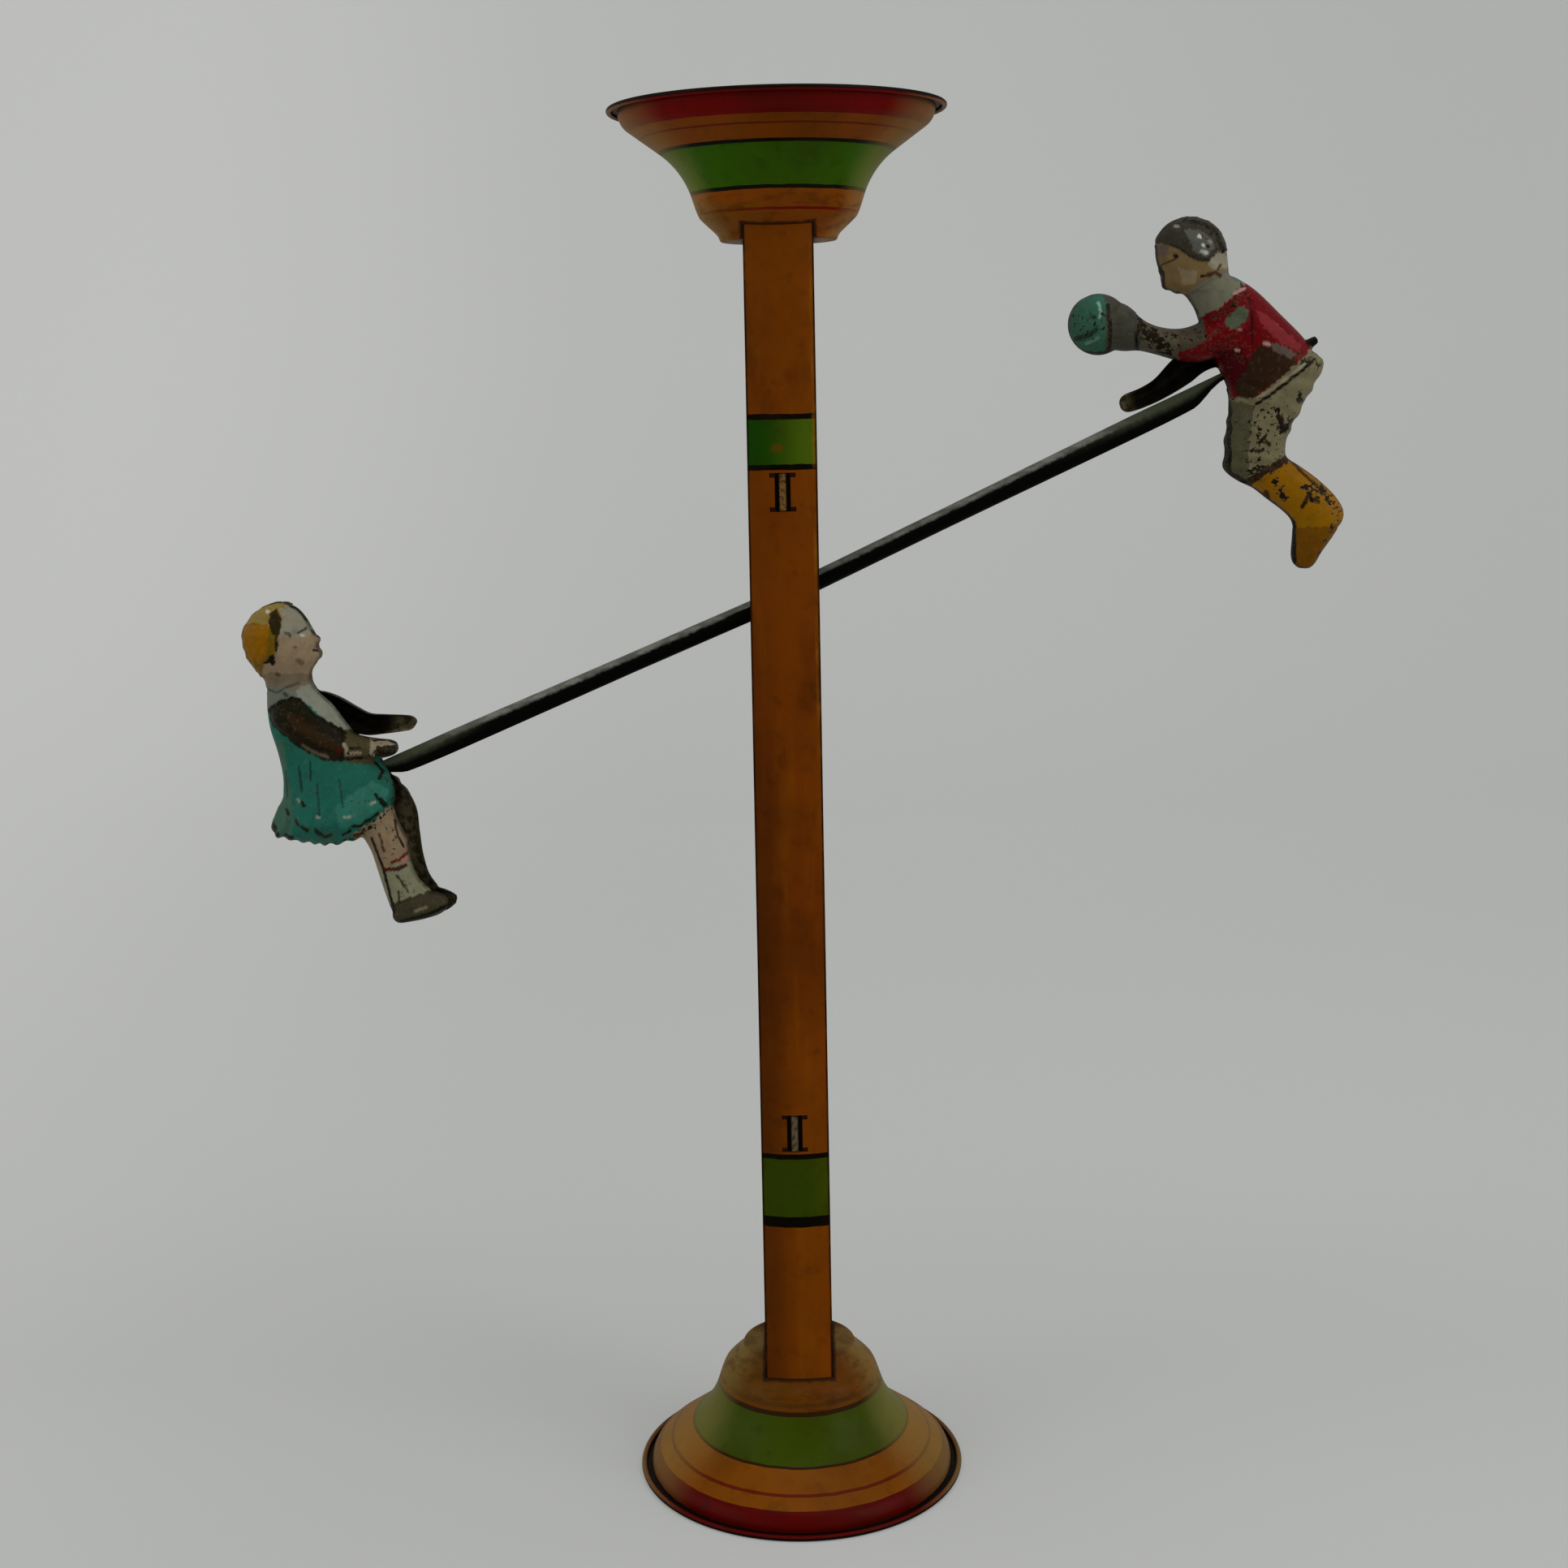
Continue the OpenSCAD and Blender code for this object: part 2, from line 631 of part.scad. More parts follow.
// Where the riders' own level frame lies on the beam
module on_beam() {
    at_rest() translate([seat_x, 0, seat_z]) children();
}

// The half ball is pressed in one with the near hand
boy_ball = [for (a = [-75:15:75]) [ball_c[0], ball_c[1] + ball_r*sin(a), 0,
    ball_r*cos(a), ball_r*cos(a)]];

module boy_near_half() { color("firebrick") on_beam() pressed_half([boy_head, boy_body,
    boy_near_arm, boy_ball, boy_seat_tab], boy_t); }

module boy_far_half() {
    color("firebrick") on_beam() mirror([0, 1, 0])
        pressed_half([boy_head, boy_body, boy_far_arm, boy_seat_tab], boy_t);
}

base_bell();
top_bell();
column_front_panel();
column_back_panel();
base_lock_plate();
top_lock_plate();
upper_stop_bracket();
lower_stop_bracket();
front_guide_plate();
back_guide_plate();
axle();
front_spacer_tube();
back_spacer_tube();
axle_washers();
beam();
front_pallet_plate();
back_pallet_plate();
pallet_pins();
beam_rivets();
girl_near_half();
girl_far_half();
boy_near_half();
boy_far_half();
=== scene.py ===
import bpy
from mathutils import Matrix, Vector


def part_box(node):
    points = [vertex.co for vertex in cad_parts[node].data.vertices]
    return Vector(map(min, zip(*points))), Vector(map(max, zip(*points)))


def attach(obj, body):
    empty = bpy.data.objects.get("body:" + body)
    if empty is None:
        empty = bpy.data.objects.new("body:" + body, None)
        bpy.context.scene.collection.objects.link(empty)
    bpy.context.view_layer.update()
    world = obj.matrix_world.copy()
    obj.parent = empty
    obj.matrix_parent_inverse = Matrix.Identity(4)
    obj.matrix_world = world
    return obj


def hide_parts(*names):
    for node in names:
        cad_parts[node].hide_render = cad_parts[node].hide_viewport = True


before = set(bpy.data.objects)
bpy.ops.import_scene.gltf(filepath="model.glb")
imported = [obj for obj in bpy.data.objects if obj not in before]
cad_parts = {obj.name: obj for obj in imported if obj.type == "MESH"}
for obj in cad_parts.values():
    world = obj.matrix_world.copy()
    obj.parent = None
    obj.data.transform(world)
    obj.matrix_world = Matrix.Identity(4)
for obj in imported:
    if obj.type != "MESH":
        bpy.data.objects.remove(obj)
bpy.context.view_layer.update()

import math
import bpy
import bmesh
import numpy as np
from mathutils import Matrix, Vector, noise

# Millimetres; 1000 of them make a unit of the scene.
PIVOT_Z, TOTAL_H, TILT = 240.5, 368.0, math.radians(23.8)
READ_Z = 239.0  # the height that the riders' sections were read round

# Camera
POS = np.array([5.61, -570.33, 296.4])
YAW, PITCH, ROLL = (math.radians(a) for a in (-1.391, -6.136, 1.167))
PHOTO_PX, F_PX, CX, CY, SENSOR = 1932, 2656.3, 930.0, 760.0, 36
AHEAD = np.array([math.sin(YAW)*math.cos(PITCH), math.cos(YAW)*math.cos(PITCH), math.sin(PITCH)])
LEVEL = np.array([math.cos(YAW), -math.sin(YAW), 0.0])
BELOW = np.cross(AHEAD, LEVEL)
RIGHT = math.cos(ROLL)*LEVEL + math.sin(ROLL)*BELOW
DOWN = -math.sin(ROLL)*LEVEL + math.cos(ROLL)*BELOW


def photo_px(p):
    """Where points in millimetres fall in the picture, in pixels."""
    q = p - POS
    z = q @ AHEAD
    return np.stack([F_PX*(q @ RIGHT)/z + CX, F_PX*(q @ DOWN)/z + CY], axis=-1)


def put_in_scene(name, data):
    ob = bpy.data.objects.new(name, data)
    bpy.context.scene.collection.objects.link(ob)
    return ob


cam_data = bpy.data.cameras.new("camera")
cam = put_in_scene("camera", cam_data)
m = Matrix.Identity(4)
for i in range(3):
    m[i][0], m[i][1], m[i][2], m[i][3] = RIGHT[i], -DOWN[i], -AHEAD[i], POS[i]/1000
cam.matrix_world = m
cam_data.sensor_fit = "HORIZONTAL"
cam_data.sensor_width = SENSOR
cam_data.lens = F_PX*SENSOR/PHOTO_PX
cam_data.shift_x = (PHOTO_PX/2 - CX)/PHOTO_PX
cam_data.shift_y = (CY - PHOTO_PX/2)/PHOTO_PX
cam_data.clip_start, cam_data.clip_end = 0.01, 20
bpy.context.scene.camera = cam
bpy.context.scene.view_settings.view_transform = "Standard"


# Material tools
def lin(r, g, b):
    """An 8-bit display colour as scene-linear."""
    return tuple((c/255/12.92) if c/255 <= 0.04045 else ((c/255 + 0.055)/1.055)**2.4
                 for c in (r, g, b)) + (1.0,)


class Nodes:
    """The nodes of a material or of the world, with short calls that add to them."""

    def __init__(self, owner, output):
        owner.use_nodes = True
        self.owner, self.t = owner, owner.node_tree
        self.t.nodes.clear()
        self.out = self.new(output)
        self.co = self.new("TexCoord")

    def new(self, kind, **settings):
        n = self.t.nodes.new("ShaderNode" + kind)
        for key, v in settings.items():
            setattr(n, key, v)
        return n

    def put(self, sock, v):
        if isinstance(v, bpy.types.NodeSocket):
            self.t.links.new(v, sock)
        else:
            sock.default_value = v

    def fill(self, n, **values):
        """Values or links for a node's inputs, with _ for a space in their names."""
        for key, v in values.items():
            self.put(n.inputs[key.replace("_", " ")], v)
        return n

    def vec(self, op, *values, out="Vector"):
        n = self.new("VectorMath", operation=op)
        for s, v in zip(n.inputs, values):
            self.put(s, v)
        return n.outputs[out]

    def math(self, op, *values):
        n = self.new("Math", operation=op)
        for s, v in zip(n.inputs, values):
            self.put(s, v)
        return n.outputs[0]

    def add(self, a, b):
        return self.math("ADD", a, b)

    def sub(self, a, b):
        return self.math("SUBTRACT", a, b)

    def mul(self, a, b):
        return self.math("MULTIPLY", a, b)

    def mad(self, a, b, c):
        """a times b, plus c."""
        return self.math("MULTIPLY_ADD", a, b, c)

    def div(self, a, b):
        return self.math("DIVIDE", a, b)

    def max(self, a, b):
        return self.math("MAXIMUM", a, b)

    def abs(self, a):
        return self.math("ABSOLUTE", a)

    def xyz(self, v=None):
        n = self.new("SeparateXYZ")
        self.put(n.inputs[0], v or self.mm)
        return n.outputs

    def noise(self, scale, detail=4, rough=0.55, v=None, stretch=None):
        v = v or self.mm
        if stretch:
            v = self.vec("MULTIPLY", v, stretch)
        n = self.new("TexNoise")
        return self.fill(n, Vector=v, Scale=scale, Detail=detail, Roughness=rough).outputs["Fac"]

    def ramp(self, fac, stops, interp="LINEAR"):
        n = self.new("ValToRGB")
        n.color_ramp.interpolation = interp
        e = n.color_ramp.elements
        while len(e) > 1:
            e.remove(e[-1])
        e[0].position, e[0].color = stops[0]
        for p, c in stops[1:]:
            e.new(p).color = c
        self.put(n.inputs[0], fac)
        return n.outputs[0]

    def step(self, x, lo, hi):
        """0 at lo and 1 at hi, with a soft start and end; lo may be the larger."""
        n = self.new("MapRange", interpolation_type="SMOOTHSTEP")
        return self.fill(n, Value=x, From_Min=lo, From_Max=hi).outputs["Result"]

    def mix(self, fac, a, b):
        n = self.new("Mix", data_type="RGBA")
        for i, v in ((0, fac), (6, a), (7, b)):
            self.put(n.inputs[i], v)
        return n.outputs[2]

    def attr(self, name, what="Fac"):
        return self.new("Attribute", attribute_name=name).outputs[what]

    def bump(self, height, strength, dist):
        return self.fill(self.new("Bump"), Strength=strength, Distance=dist, Height=height).outputs[0]

    def finish(self, colour, rough, metal, bump, coat=0.0, spec=0.5, coat_rough=0.3):
        b = self.fill(self.new("BsdfPrincipled"), Base_Color=colour, Roughness=rough, Metallic=metal,
                      Coat_Weight=coat, Coat_Roughness=coat_rough, Specular_IOR_Level=spec,
                      Normal=bump, Coat_Normal=bump)
        self.put(self.out.inputs[0], b.outputs[0])
        return self.owner

    def finish_with(self, fac, a, b):
        """Shader a where fac is 0, and b where it is 1."""
        n = self.new("MixShader")
        for s, v in zip(n.inputs, (fac, a.outputs[0], b.outputs[0])):
            self.put(s, v)
        self.put(self.out.inputs[0], n.outputs[0])
        return self.owner


def material(name):
    n = Nodes(bpy.data.materials.new(name), "OutputMaterial")
    n.mm = n.vec("MULTIPLY", n.co.outputs["Object"], (1000, 1000, 1000))
    return n


def bare_tin(name, tone, stain):
    n = material(name)
    spangle = n.fill(n.new("TexVoronoi"), Vector=n.mm, Scale=0.35).outputs["Distance"]
    cloud = n.noise(0.12, 6)
    c = n.mix(n.step(cloud, 0.42, 0.62), tone, stain)
    c = n.mix(n.mul(spangle, 0.25), c, lin(140, 136, 126))
    h = n.noise(1.5, stretch=(1, 1, 0.15))
    return n.finish(c, n.mad(cloud, 0.35, 0.22), 0.85, n.bump(h, 0.15, 0.0002))


def stop_tin(name):
    """A stop bracket: only its narrow tab is clean, and the plate behind the slot is dark, with a painted
    shadow, near black, in a strip each side of the tab.
    """
    n = material(name)
    x, y, z = n.xyz()
    tab = n.mul(n.step(n.abs(x), 1.0, 0.6), n.step(n.abs(y), 15.8, 16.2))
    tone = n.mix(n.step(z, 150.0, 200.0), lin(84, 72, 52), lin(104, 74, 34))
    tone = n.mix(n.step(n.noise(0.9), 0.45, 0.65), tone, lin(50, 38, 20))
    # Painted shadow: near black each side of the tab, where the strap stands proud
    plate = n.mix(n.step(n.abs(x), 1.7, 2.3), lin(6, 2, 0), lin(40, 18, 2))
    bump = n.bump(n.noise(1.5), 0.2, 0.0002)
    return n.finish(n.mix(tab, plate, tone), n.mad(n.noise(0.8, 3), 0.2, 0.4), 0.0, bump, spec=0.04)


def litho_wear(n, c):
    """Age on printed tin: faded patches, brown dirt, pin-holes of rust and hair scratches."""
    big = n.noise(0.035, 5, 0.6)
    c = n.mix(n.mul(n.step(big, 0.40, 0.72), 0.35), c, lin(34, 15, 0))
    c = n.mix(n.mul(n.step(n.noise(0.22, 5), 0.52, 0.72), 0.22), c, lin(20, 9, 2))
    specks = n.step(n.noise(1.1, 3, 0.7), 0.70, 0.76)
    c = n.mix(n.mul(specks, 0.75), c, lin(14, 6, 0))
    hair = n.step(n.noise(0.9, 2, 0.5, stretch=(6, 6, 0.25)), 0.735, 0.76)
    return n.mix(n.mul(hair, 0.5), c, lin(30, 18, 3))


def bell_material(name, top):
    """The rings of a bell's print go by p, the height above the rim less the radius."""
    n = material(name)
    x, y, z = n.xyz()
    if top:
        z = n.sub(TOTAL_H, z)
    r = n.math("SQRT", n.add(n.mul(x, x), n.mul(y, y)))
    wander = n.mul(n.sub(n.noise(0.25, 2), 0.5), 0.5)
    p = n.add(n.sub(z, r), wander)
    if top:
        edge, red, orange, line = lin(16, 7, 3), lin(92, 3, 1), lin(104, 50, 0), lin(84, 26, 2)
        green, black, dome, red_line = lin(42, 76, 0), lin(7, 9, 2), lin(114, 56, 1), lin(96, 8, 0)
        at = -32.3, -28.2, -27.0, -19.9, -18.1, -1.2, -0.1, 5.9, 7.0
    else:
        edge, red, orange, line = lin(14, 5, 2), lin(74, 2, 0), lin(108, 57, 0), lin(84, 20, 0)
        green, black, dome, red_line = lin(30, 62, 0), lin(5, 5, 1), lin(84, 43, 1), lin(66, 36, 4)
        at = -33.5, -28.3, -27.2, -17.7, -16.7, 0.3, 1.8, 3.2, 4.6
    p_low, p_span = -45, 66
    rings = zip((p_low, *at), (red, orange, line, orange, black, green, black, dome, red_line, dome))
    c = n.ramp(n.div(n.sub(p, p_low), p_span), [((a - p_low)/p_span, k) for a, k in rings], "CONSTANT")
    if not top:
        # The lower bell a little lighter and warmer from its upper orange ring upwards
        paler_upwards = n.step(n.add(p, n.mul(n.noise(0.16, 3), 3.0)), -30.0, -18.0)
        c = n.mix(n.mul(paler_upwards, 0.12), c, lin(110, 66, 6))
    c = litho_wear(n, c)
    left_of_dome = n.mul(n.step(p, 2.0, 6.0), n.mul(n.step(x, 6.0, -18.0), 0.45))
    c = n.mix(left_of_dome, c, lin(74, 56, 10))
    # Painted reflection: the bell lighter towards its left and right sides, as a sheen where the surface
    # turns away
    turn = n.div(n.abs(x), n.max(r, 1.0))
    pale_painted_light = n.mul(n.step(n.add(turn, n.mul(n.noise(0.06, 3), 0.1)), 0.72, 1.08), 0.27)
    c = n.mix(pale_painted_light, c, lin(150, 134, 76))
    brown = n.step(n.noise(0.3, 5, 0.65, stretch=(0.5, 0.5, 1.4)), 0.46, 0.66)
    c = n.mix(n.mul(brown, n.mul(n.step(p, 0.8, 2.0), 0.45)), c, lin(52, 24, 0))
    # Painted shade on the crown, close round the column where it goes in
    face = n.sub(17.6, n.mul(n.mul(x, x), 0.0215))
    side = n.max(n.sub(n.abs(x), 9.2), n.sub(n.abs(y), face))
    side = n.add(side, n.mul(n.sub(n.noise(0.5, 3), 0.5), 0.8))
    column_shade = n.mul(n.step(side, 1.0, 0.3), n.step(p, 8.0, 9.5))
    c = n.mix(n.mul(column_shade, 0.85), c, lin(24, 7, 0))
    c = n.mix(n.step(n.add(z, n.mul(n.noise(0.4, 3), 0.3)), 1.25, 1.0), c, edge)
    # Bare tin on the faces that look inwards
    nx, ny, nz = n.xyz(n.co.outputs["Normal"])
    if top:
        nz = n.mul(nz, -1.0)
    radial = n.div(n.add(n.mul(nx, x), n.mul(ny, y)), n.max(r, 1.0))
    outside = n.max(n.step(n.add(radial, nz), -0.25, -0.05), n.step(r, 42.2, 42.5))
    inner = n.mix(n.step(n.noise(0.15, 5), 0.4, 0.62), lin(88, 80, 62), lin(48, 38, 24))
    c = n.mix(outside, inner, c)
    h = n.add(n.noise(0.05, 2), n.mul(n.noise(2.2, 3), 0.03))
    return n.finish(c, n.mad(n.noise(0.6), 0.18, 0.34), n.mul(n.sub(1.0, outside), 0.75),
                    n.bump(h, 0.5, 0.0014), 0.055, 0.01, 0.28)


def column_material(name):
    n = material(name)
    x, y, z = n.xyz()
    ax = n.abs(x)
    fac = n.div(n.add(z, n.mul(n.sub(n.noise(0.3, 2), 0.5), 0.5)), TOTAL_H)
    up, mid, low = lin(104, 51, 0), lin(98, 43, 0), lin(106, 51, 0)
    body = n.ramp(n.div(z, TOTAL_H), [(0.0, low), (0.25, low), (0.45, mid), (0.9, up)])
    streak = n.step(n.noise(0.14, 5, 0.6, stretch=(1.6, 1, 0.16)), 0.50, 0.68)
    body = n.mix(n.mul(streak, 0.45), body, lin(112, 60, 0))
    low_part = n.step(z, 262.0, 165.0)
    shade = n.mul(n.step(x, 1.5, -7.0), n.mad(low_part, 0.42, 0.10))
    body = n.mix(shade, body, lin(38, 13, 0))
    # The two green bands, with a black line at each edge
    green_low, green_up, k = lin(42, 56, 0), lin(18, 56, 0), lin(6, 5, 1)
    on, off = (1, 1, 1, 1), (0, 0, 0, 1)
    at = [(0, off), (73.1, k), (75.3, green_low), (90.7, k), (93.0, off),
          (273.2, k), (275.0, green_up), (287.3, k), (288.8, off)]

    def along(colour):
        return n.ramp(fac, [(a/TOTAL_H, colour(c)) for a, c in at], "CONSTANT")

    bands = along(lambda c: c)
    mask = along(lambda c: on if c != off else off)
    # Painted light: both green bands lighter towards the right, the side the light comes from
    bands = n.mix(n.mul(n.step(x, -6.0, 8.0), n.step(z, 274.8, 275.2)), bands, lin(62, 82, 6))
    bands = n.mix(n.mul(n.step(z, 93.0, 92.8), n.mul(n.step(x, 3.0, 8.0), 0.4)), bands, lin(62, 66, 2))
    c = n.mix(mask, body, bands)
    c = n.mix(along(lambda c: on if c == k else off), c, k)
    stain = n.step(n.noise(0.05, 6, 0.62, stretch=(1, 1, 0.45)), 0.50, 0.74)
    c = n.mix(n.mul(stain, 0.45), c, lin(44, 18, 2))
    # Painted highlight: lighter orange in patches along the right edge of the column, from about 150 mm up
    right_edge_highlight = n.step(n.noise(0.35, stretch=(1, 1, 0.4)), 0.35, 0.85)
    c = n.mix(n.mul(n.mul(n.step(x, 7.5, 8.0), n.step(z, 150.0, 230.0)), right_edge_highlight), c, lin(122, 76, 8))
    # The scuffed spot on the upper band
    off_spot = n.vec("MULTIPLY", n.vec("ADD", n.mm, (1.2, 0.0, -280.2)), (0.55, 0.0, 1.0))
    spot = n.add(n.vec("LENGTH", off_spot, out="Value"), n.mul(n.noise(0.7, 4, 0.7), 2.6))
    c = n.mix(n.mul(n.step(spot, 2.7, 1.6), 0.8), c, lin(84, 48, 2))
    c = litho_wear(n, c)
    ragged = n.step(n.noise(0.5, stretch=(1, 1, 0.5)), 0.30, 0.50)
    c = n.mix(n.mul(n.step(ax, 8.3, 8.75), n.mad(ragged, 0.45, 0.45)), c, lin(16, 5, 0))
    inside = n.mul(n.step(n.sub(8.8, ax), 0.0, 0.12), n.step(n.sub(15.2, n.abs(y)), 0.0, 0.12))
    c = n.mix(inside, c, n.mix(n.noise(0.2), lin(60, 48, 26), lin(30, 22, 12)))
    h = n.add(n.noise(0.06, 2, stretch=(1, 1, 0.5)), n.mul(n.noise(2.0, 3), 0.03))
    return n.finish(c, n.mad(n.noise(0.5), 0.2, 0.28), 0.0, n.bump(h, 0.4, 0.0012), 0.03, 0.01, 0.34)


def beam_material(name):
    """Black paint with a painted grey highlight along the top, in patches; `up` and `leaf` come from the
    mesh.
    """
    n = material(name)
    up = n.add(n.attr("up"), n.mul(n.sub(n.noise(0.7, 3), 0.5), 0.35))
    sheen_patches = n.step(n.noise(0.5, 6, 0.65, stretch=(0.3, 1, 1)), 0.40, 0.62)
    # Painted highlight: the top of the beam grey in patches, as light from above catches it
    top = n.mul(n.step(up, 0.30, 0.66), n.mad(sheen_patches, 0.45, 0.55))
    c = n.mix(top, lin(2, 2, 1), lin(108, 108, 100))
    c = n.mix(n.mul(n.attr("leaf"), n.step(up, -0.3, 0.6)), c, lin(58, 62, 46))
    c = n.mix(n.mul(n.step(n.noise(1.6, 4, 0.7), 0.6, 0.7), 0.6), c, lin(12, 9, 4))
    h = n.noise(1.2, stretch=(0.3, 1, 1))
    return n.finish(c, n.mad(sheen_patches, -0.1, 0.5), 0.0, n.bump(h, 0.25, 0.0003), 0.02, 0.02)


def figure_material(name, chips):
    """Hand-painted tin: the zones come from the mesh, with chips down to dark metal."""
    n = material(name)
    dirt = n.mul(n.max(n.sub(n.noise(0.35), 0.45), 0.0), 0.8)
    c = n.mix(dirt, n.attr("paint", "Color"), lin(24, 18, 9))
    light = n.step(n.noise(0.8, 3, v=n.vec("ADD", n.mm, (40.0, 9.0, 3.0))), 0.56, 0.70)
    c = n.mix(n.mul(light, 0.05), c, lin(150, 140, 110))
    cut = n.sub(n.add(n.noise(0.75, 6, 0.68), n.mul(n.attr("wear"), 0.34)), chips)
    chip = n.step(cut, 0.0, 0.03)
    rim = n.sub(n.step(cut, -0.03, 0.0), chip)
    c = n.mix(n.mul(rim, 0.22), c, lin(128, 118, 90))
    c = n.mix(chip, c, n.mix(n.noise(1.4, 3), lin(34, 27, 15), lin(14, 11, 6)))
    rough = n.sub(n.mad(n.noise(1.5, 3), 0.2, 0.42), n.mul(n.attr("gloss"), 0.2))
    h = n.sub(n.mul(n.noise(0.9), 0.3), chip)
    return n.finish(c, rough, n.mul(chip, 0.2), n.bump(h, 0.5, 0.00025), spec=0.03)


def inside_material(name):
    """Dark bare tin inside the riders, with painted light: paler in the far hands, whose insides show."""
    n = material(name)
    c = n.mix(n.step(n.noise(0.3, 5), 0.42, 0.6), lin(10, 9, 5), lin(26, 22, 12))
    x = n.xyz()[0]
    # Painted light: the insides of the far hands paler, as if lit
    boy_hand = n.mul(n.step(x, 94.0, 89.0), n.step(x, 0.0, 1.0))
    girl_hand = n.mul(n.step(x, -109.0, -104.0), n.step(x, 0.0, -1.0))
    pale_painted_light = n.mix(n.step(n.noise(0.5), 0.4, 0.6), lin(112, 104, 78), lin(66, 58, 34))
    c = n.mix(n.max(boy_hand, girl_hand), c, pale_painted_light)
    return n.finish(c, n.mad(n.noise(0.8, 3), 0.3, 0.4), 0.0, n.bump(n.noise(1.0), 0.3, 0.0003), spec=0.04)


# Mesh tools
def link(ob, mats, body, nodes):
    """Puts a piece on its body, in the place of the CAD's nodes."""
    for mt in mats:
        ob.data.materials.append(mt)
    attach(ob, body)
    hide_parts(*nodes)


def mesh_from(bm, name):
    me = bpy.data.meshes.new(name)
    bm.to_mesh(me)
    bm.free()
    return me


def applied(ob):
    """The object's mesh with its modifiers applied; the object itself goes."""
    dg = bpy.context.evaluated_depsgraph_get()
    me = bpy.data.meshes.new_from_object(ob.evaluated_get(dg))
    old = ob.data
    bpy.data.objects.remove(ob)
    bpy.data.meshes.remove(old)
    return me


def cut_by(me, tool):
    """The first mesh less the second."""
    ob, cutter = put_in_scene("temp", me), put_in_scene("temp", tool)
    mod = ob.modifiers.new("cut", "BOOLEAN")
    mod.object, mod.operation, mod.solver = cutter, "DIFFERENCE", "EXACT"
    me = applied(ob)
    bpy.data.objects.remove(cutter)
    return me


def shade(me, sharp=None):
    """Smooth faces, with edges over the given angle left sharp."""
    for p in me.polygons:
        p.use_smooth = True
    if sharp:
        me.set_sharp_from_angle(angle=math.radians(sharp))


def bridge(bm, rings):
    """Quads from each closed ring of vertices to the next."""
    for r0, r1 in zip(rings, rings[1:]):
        for i in range(len(r0)):
            j = (i + 1) % len(r0)
            bm.faces.new((r0[i], r0[j], r1[j], r1[i]))


def cap(bm, rings):
    bm.faces.new(rings[0][::-1])
    bm.faces.new(rings[-1])


def turn_out(bm):
    bmesh.ops.recalc_face_normals(bm, faces=bm.faces)


def arc(c, r, a0, a1, n):
    return [(c[0] + r*math.cos(math.radians(a0 + (a1 - a0)*i/n)),
             c[1] + r*math.sin(math.radians(a0 + (a1 - a0)*i/n))) for i in range(n + 1)]


def numbers(text):
    return [float(v) for v in text.split()]


def points(text):
    """'x,y x,y' as pairs."""
    return [tuple(float(v) for v in p.split(",")) for p in text.split()]


def sections(text):
    return [tuple(numbers(row)) for row in text.split(",")]


def table(text):
    """Rows of 'numbers|number|points'; a line that starts with a space goes on from the one above."""
    rows = [row.split("|") for row in text.strip("\n").replace("\n ", " ").split("\n")]
    return [(numbers(a), float(b), points(c)) for a, b, c in rows]


# Bells
RIM_R, BELL_T, BEAD_R, BELL_SEGMENTS = 44.2, 0.5, 0.7, 160
WAIST_R, WAIST_Z, COVE_R, CROWN_R = 22.6, 22.8, 23.0, 16.8
CROWN_END = points("20.1,28.75 19.5,29.35 18.9,29.9 18.3,30.5 17.6,31.1 16.9,31.75 16.3,32.35 15.85,32.9"
                   " 15.6,33.4 15.45,33.8 15.3,34.15 14.95,34.38 14.3,34.42 13,34.42 11,34.42 8,34.42")
COL_HALF_W, COL_FLAT_Y, FACE_RISE, FACE_CHORD, HOLE_GAP = 9.0, 16.75, 2.2, 17.2, 0.16


def bell_side(d):
    """The bell's side from flange to crown, moved in by d."""
    waist = math.radians(18)
    crown = (WAIST_R - 3*math.tan(waist) - CROWN_R*math.cos(math.radians(19)),
             WAIST_Z + 3 - CROWN_R*math.sin(math.radians(19)))
    pts = arc((RIM_R - 8, BEAD_R + 0.6), 5, -4, 55, 14)
    pts += arc((WAIST_R + COVE_R*math.cos(waist), WAIST_Z + COVE_R*math.sin(waist)), COVE_R, 235, 198, 24)
    pts += arc(crown, CROWN_R, 19, 28, 6) + CROWN_END
    out = []
    for i, (a, b) in enumerate(pts):
        u, v = pts[max(i - 1, 0)], pts[min(i + 1, len(pts) - 1)]
        dx, dy = v[0] - u[0], v[1] - u[1]
        k = d/math.hypot(dx, dy)
        out.append((a - k*dy, b + k*dx))
    return out


def shallow(y):
    """The printed column's faces sit a little nearer its axis than the solid's."""
    return math.copysign(12 + (abs(y) - 12)*0.79, y) if abs(y) > 12 else y


def column_outline(grow):
    """The column's plan with its rounded faces, made larger all round."""
    flat, half_w = COL_FLAT_Y + grow, COL_HALF_W + grow
    r = (FACE_CHORD*FACE_CHORD/4 + FACE_RISE*FACE_RISE)/(2*FACE_RISE) + grow
    c = COL_FLAT_Y + FACE_RISE - (r - grow)
    half_face = min(COL_HALF_W, math.sqrt(max(0.0, r*r - (flat - c)**2)))
    a = math.asin(min(1.0, half_face/r))
    front = [(-r*math.sin(a - 2*a*i/14), -(c + r*math.cos(a - 2*a*i/14))) for i in range(15)]
    back = [(-px, -py) for px, py in front]
    loop = [(-half_w, -flat)] + front + [(half_w, -flat), (half_w, flat)] + back + [(-half_w, flat)]
    return [(a, shallow(b)) for a, b in loop]


def prism(outline, z0, z1):
    bm = bmesh.new()
    rings = [[bm.verts.new((a, b, z)) for a, b in outline] for z in (z0, z1)]
    cap(bm, rings)
    bridge(bm, rings)
    turn_out(bm)
    return mesh_from(bm, "prism")


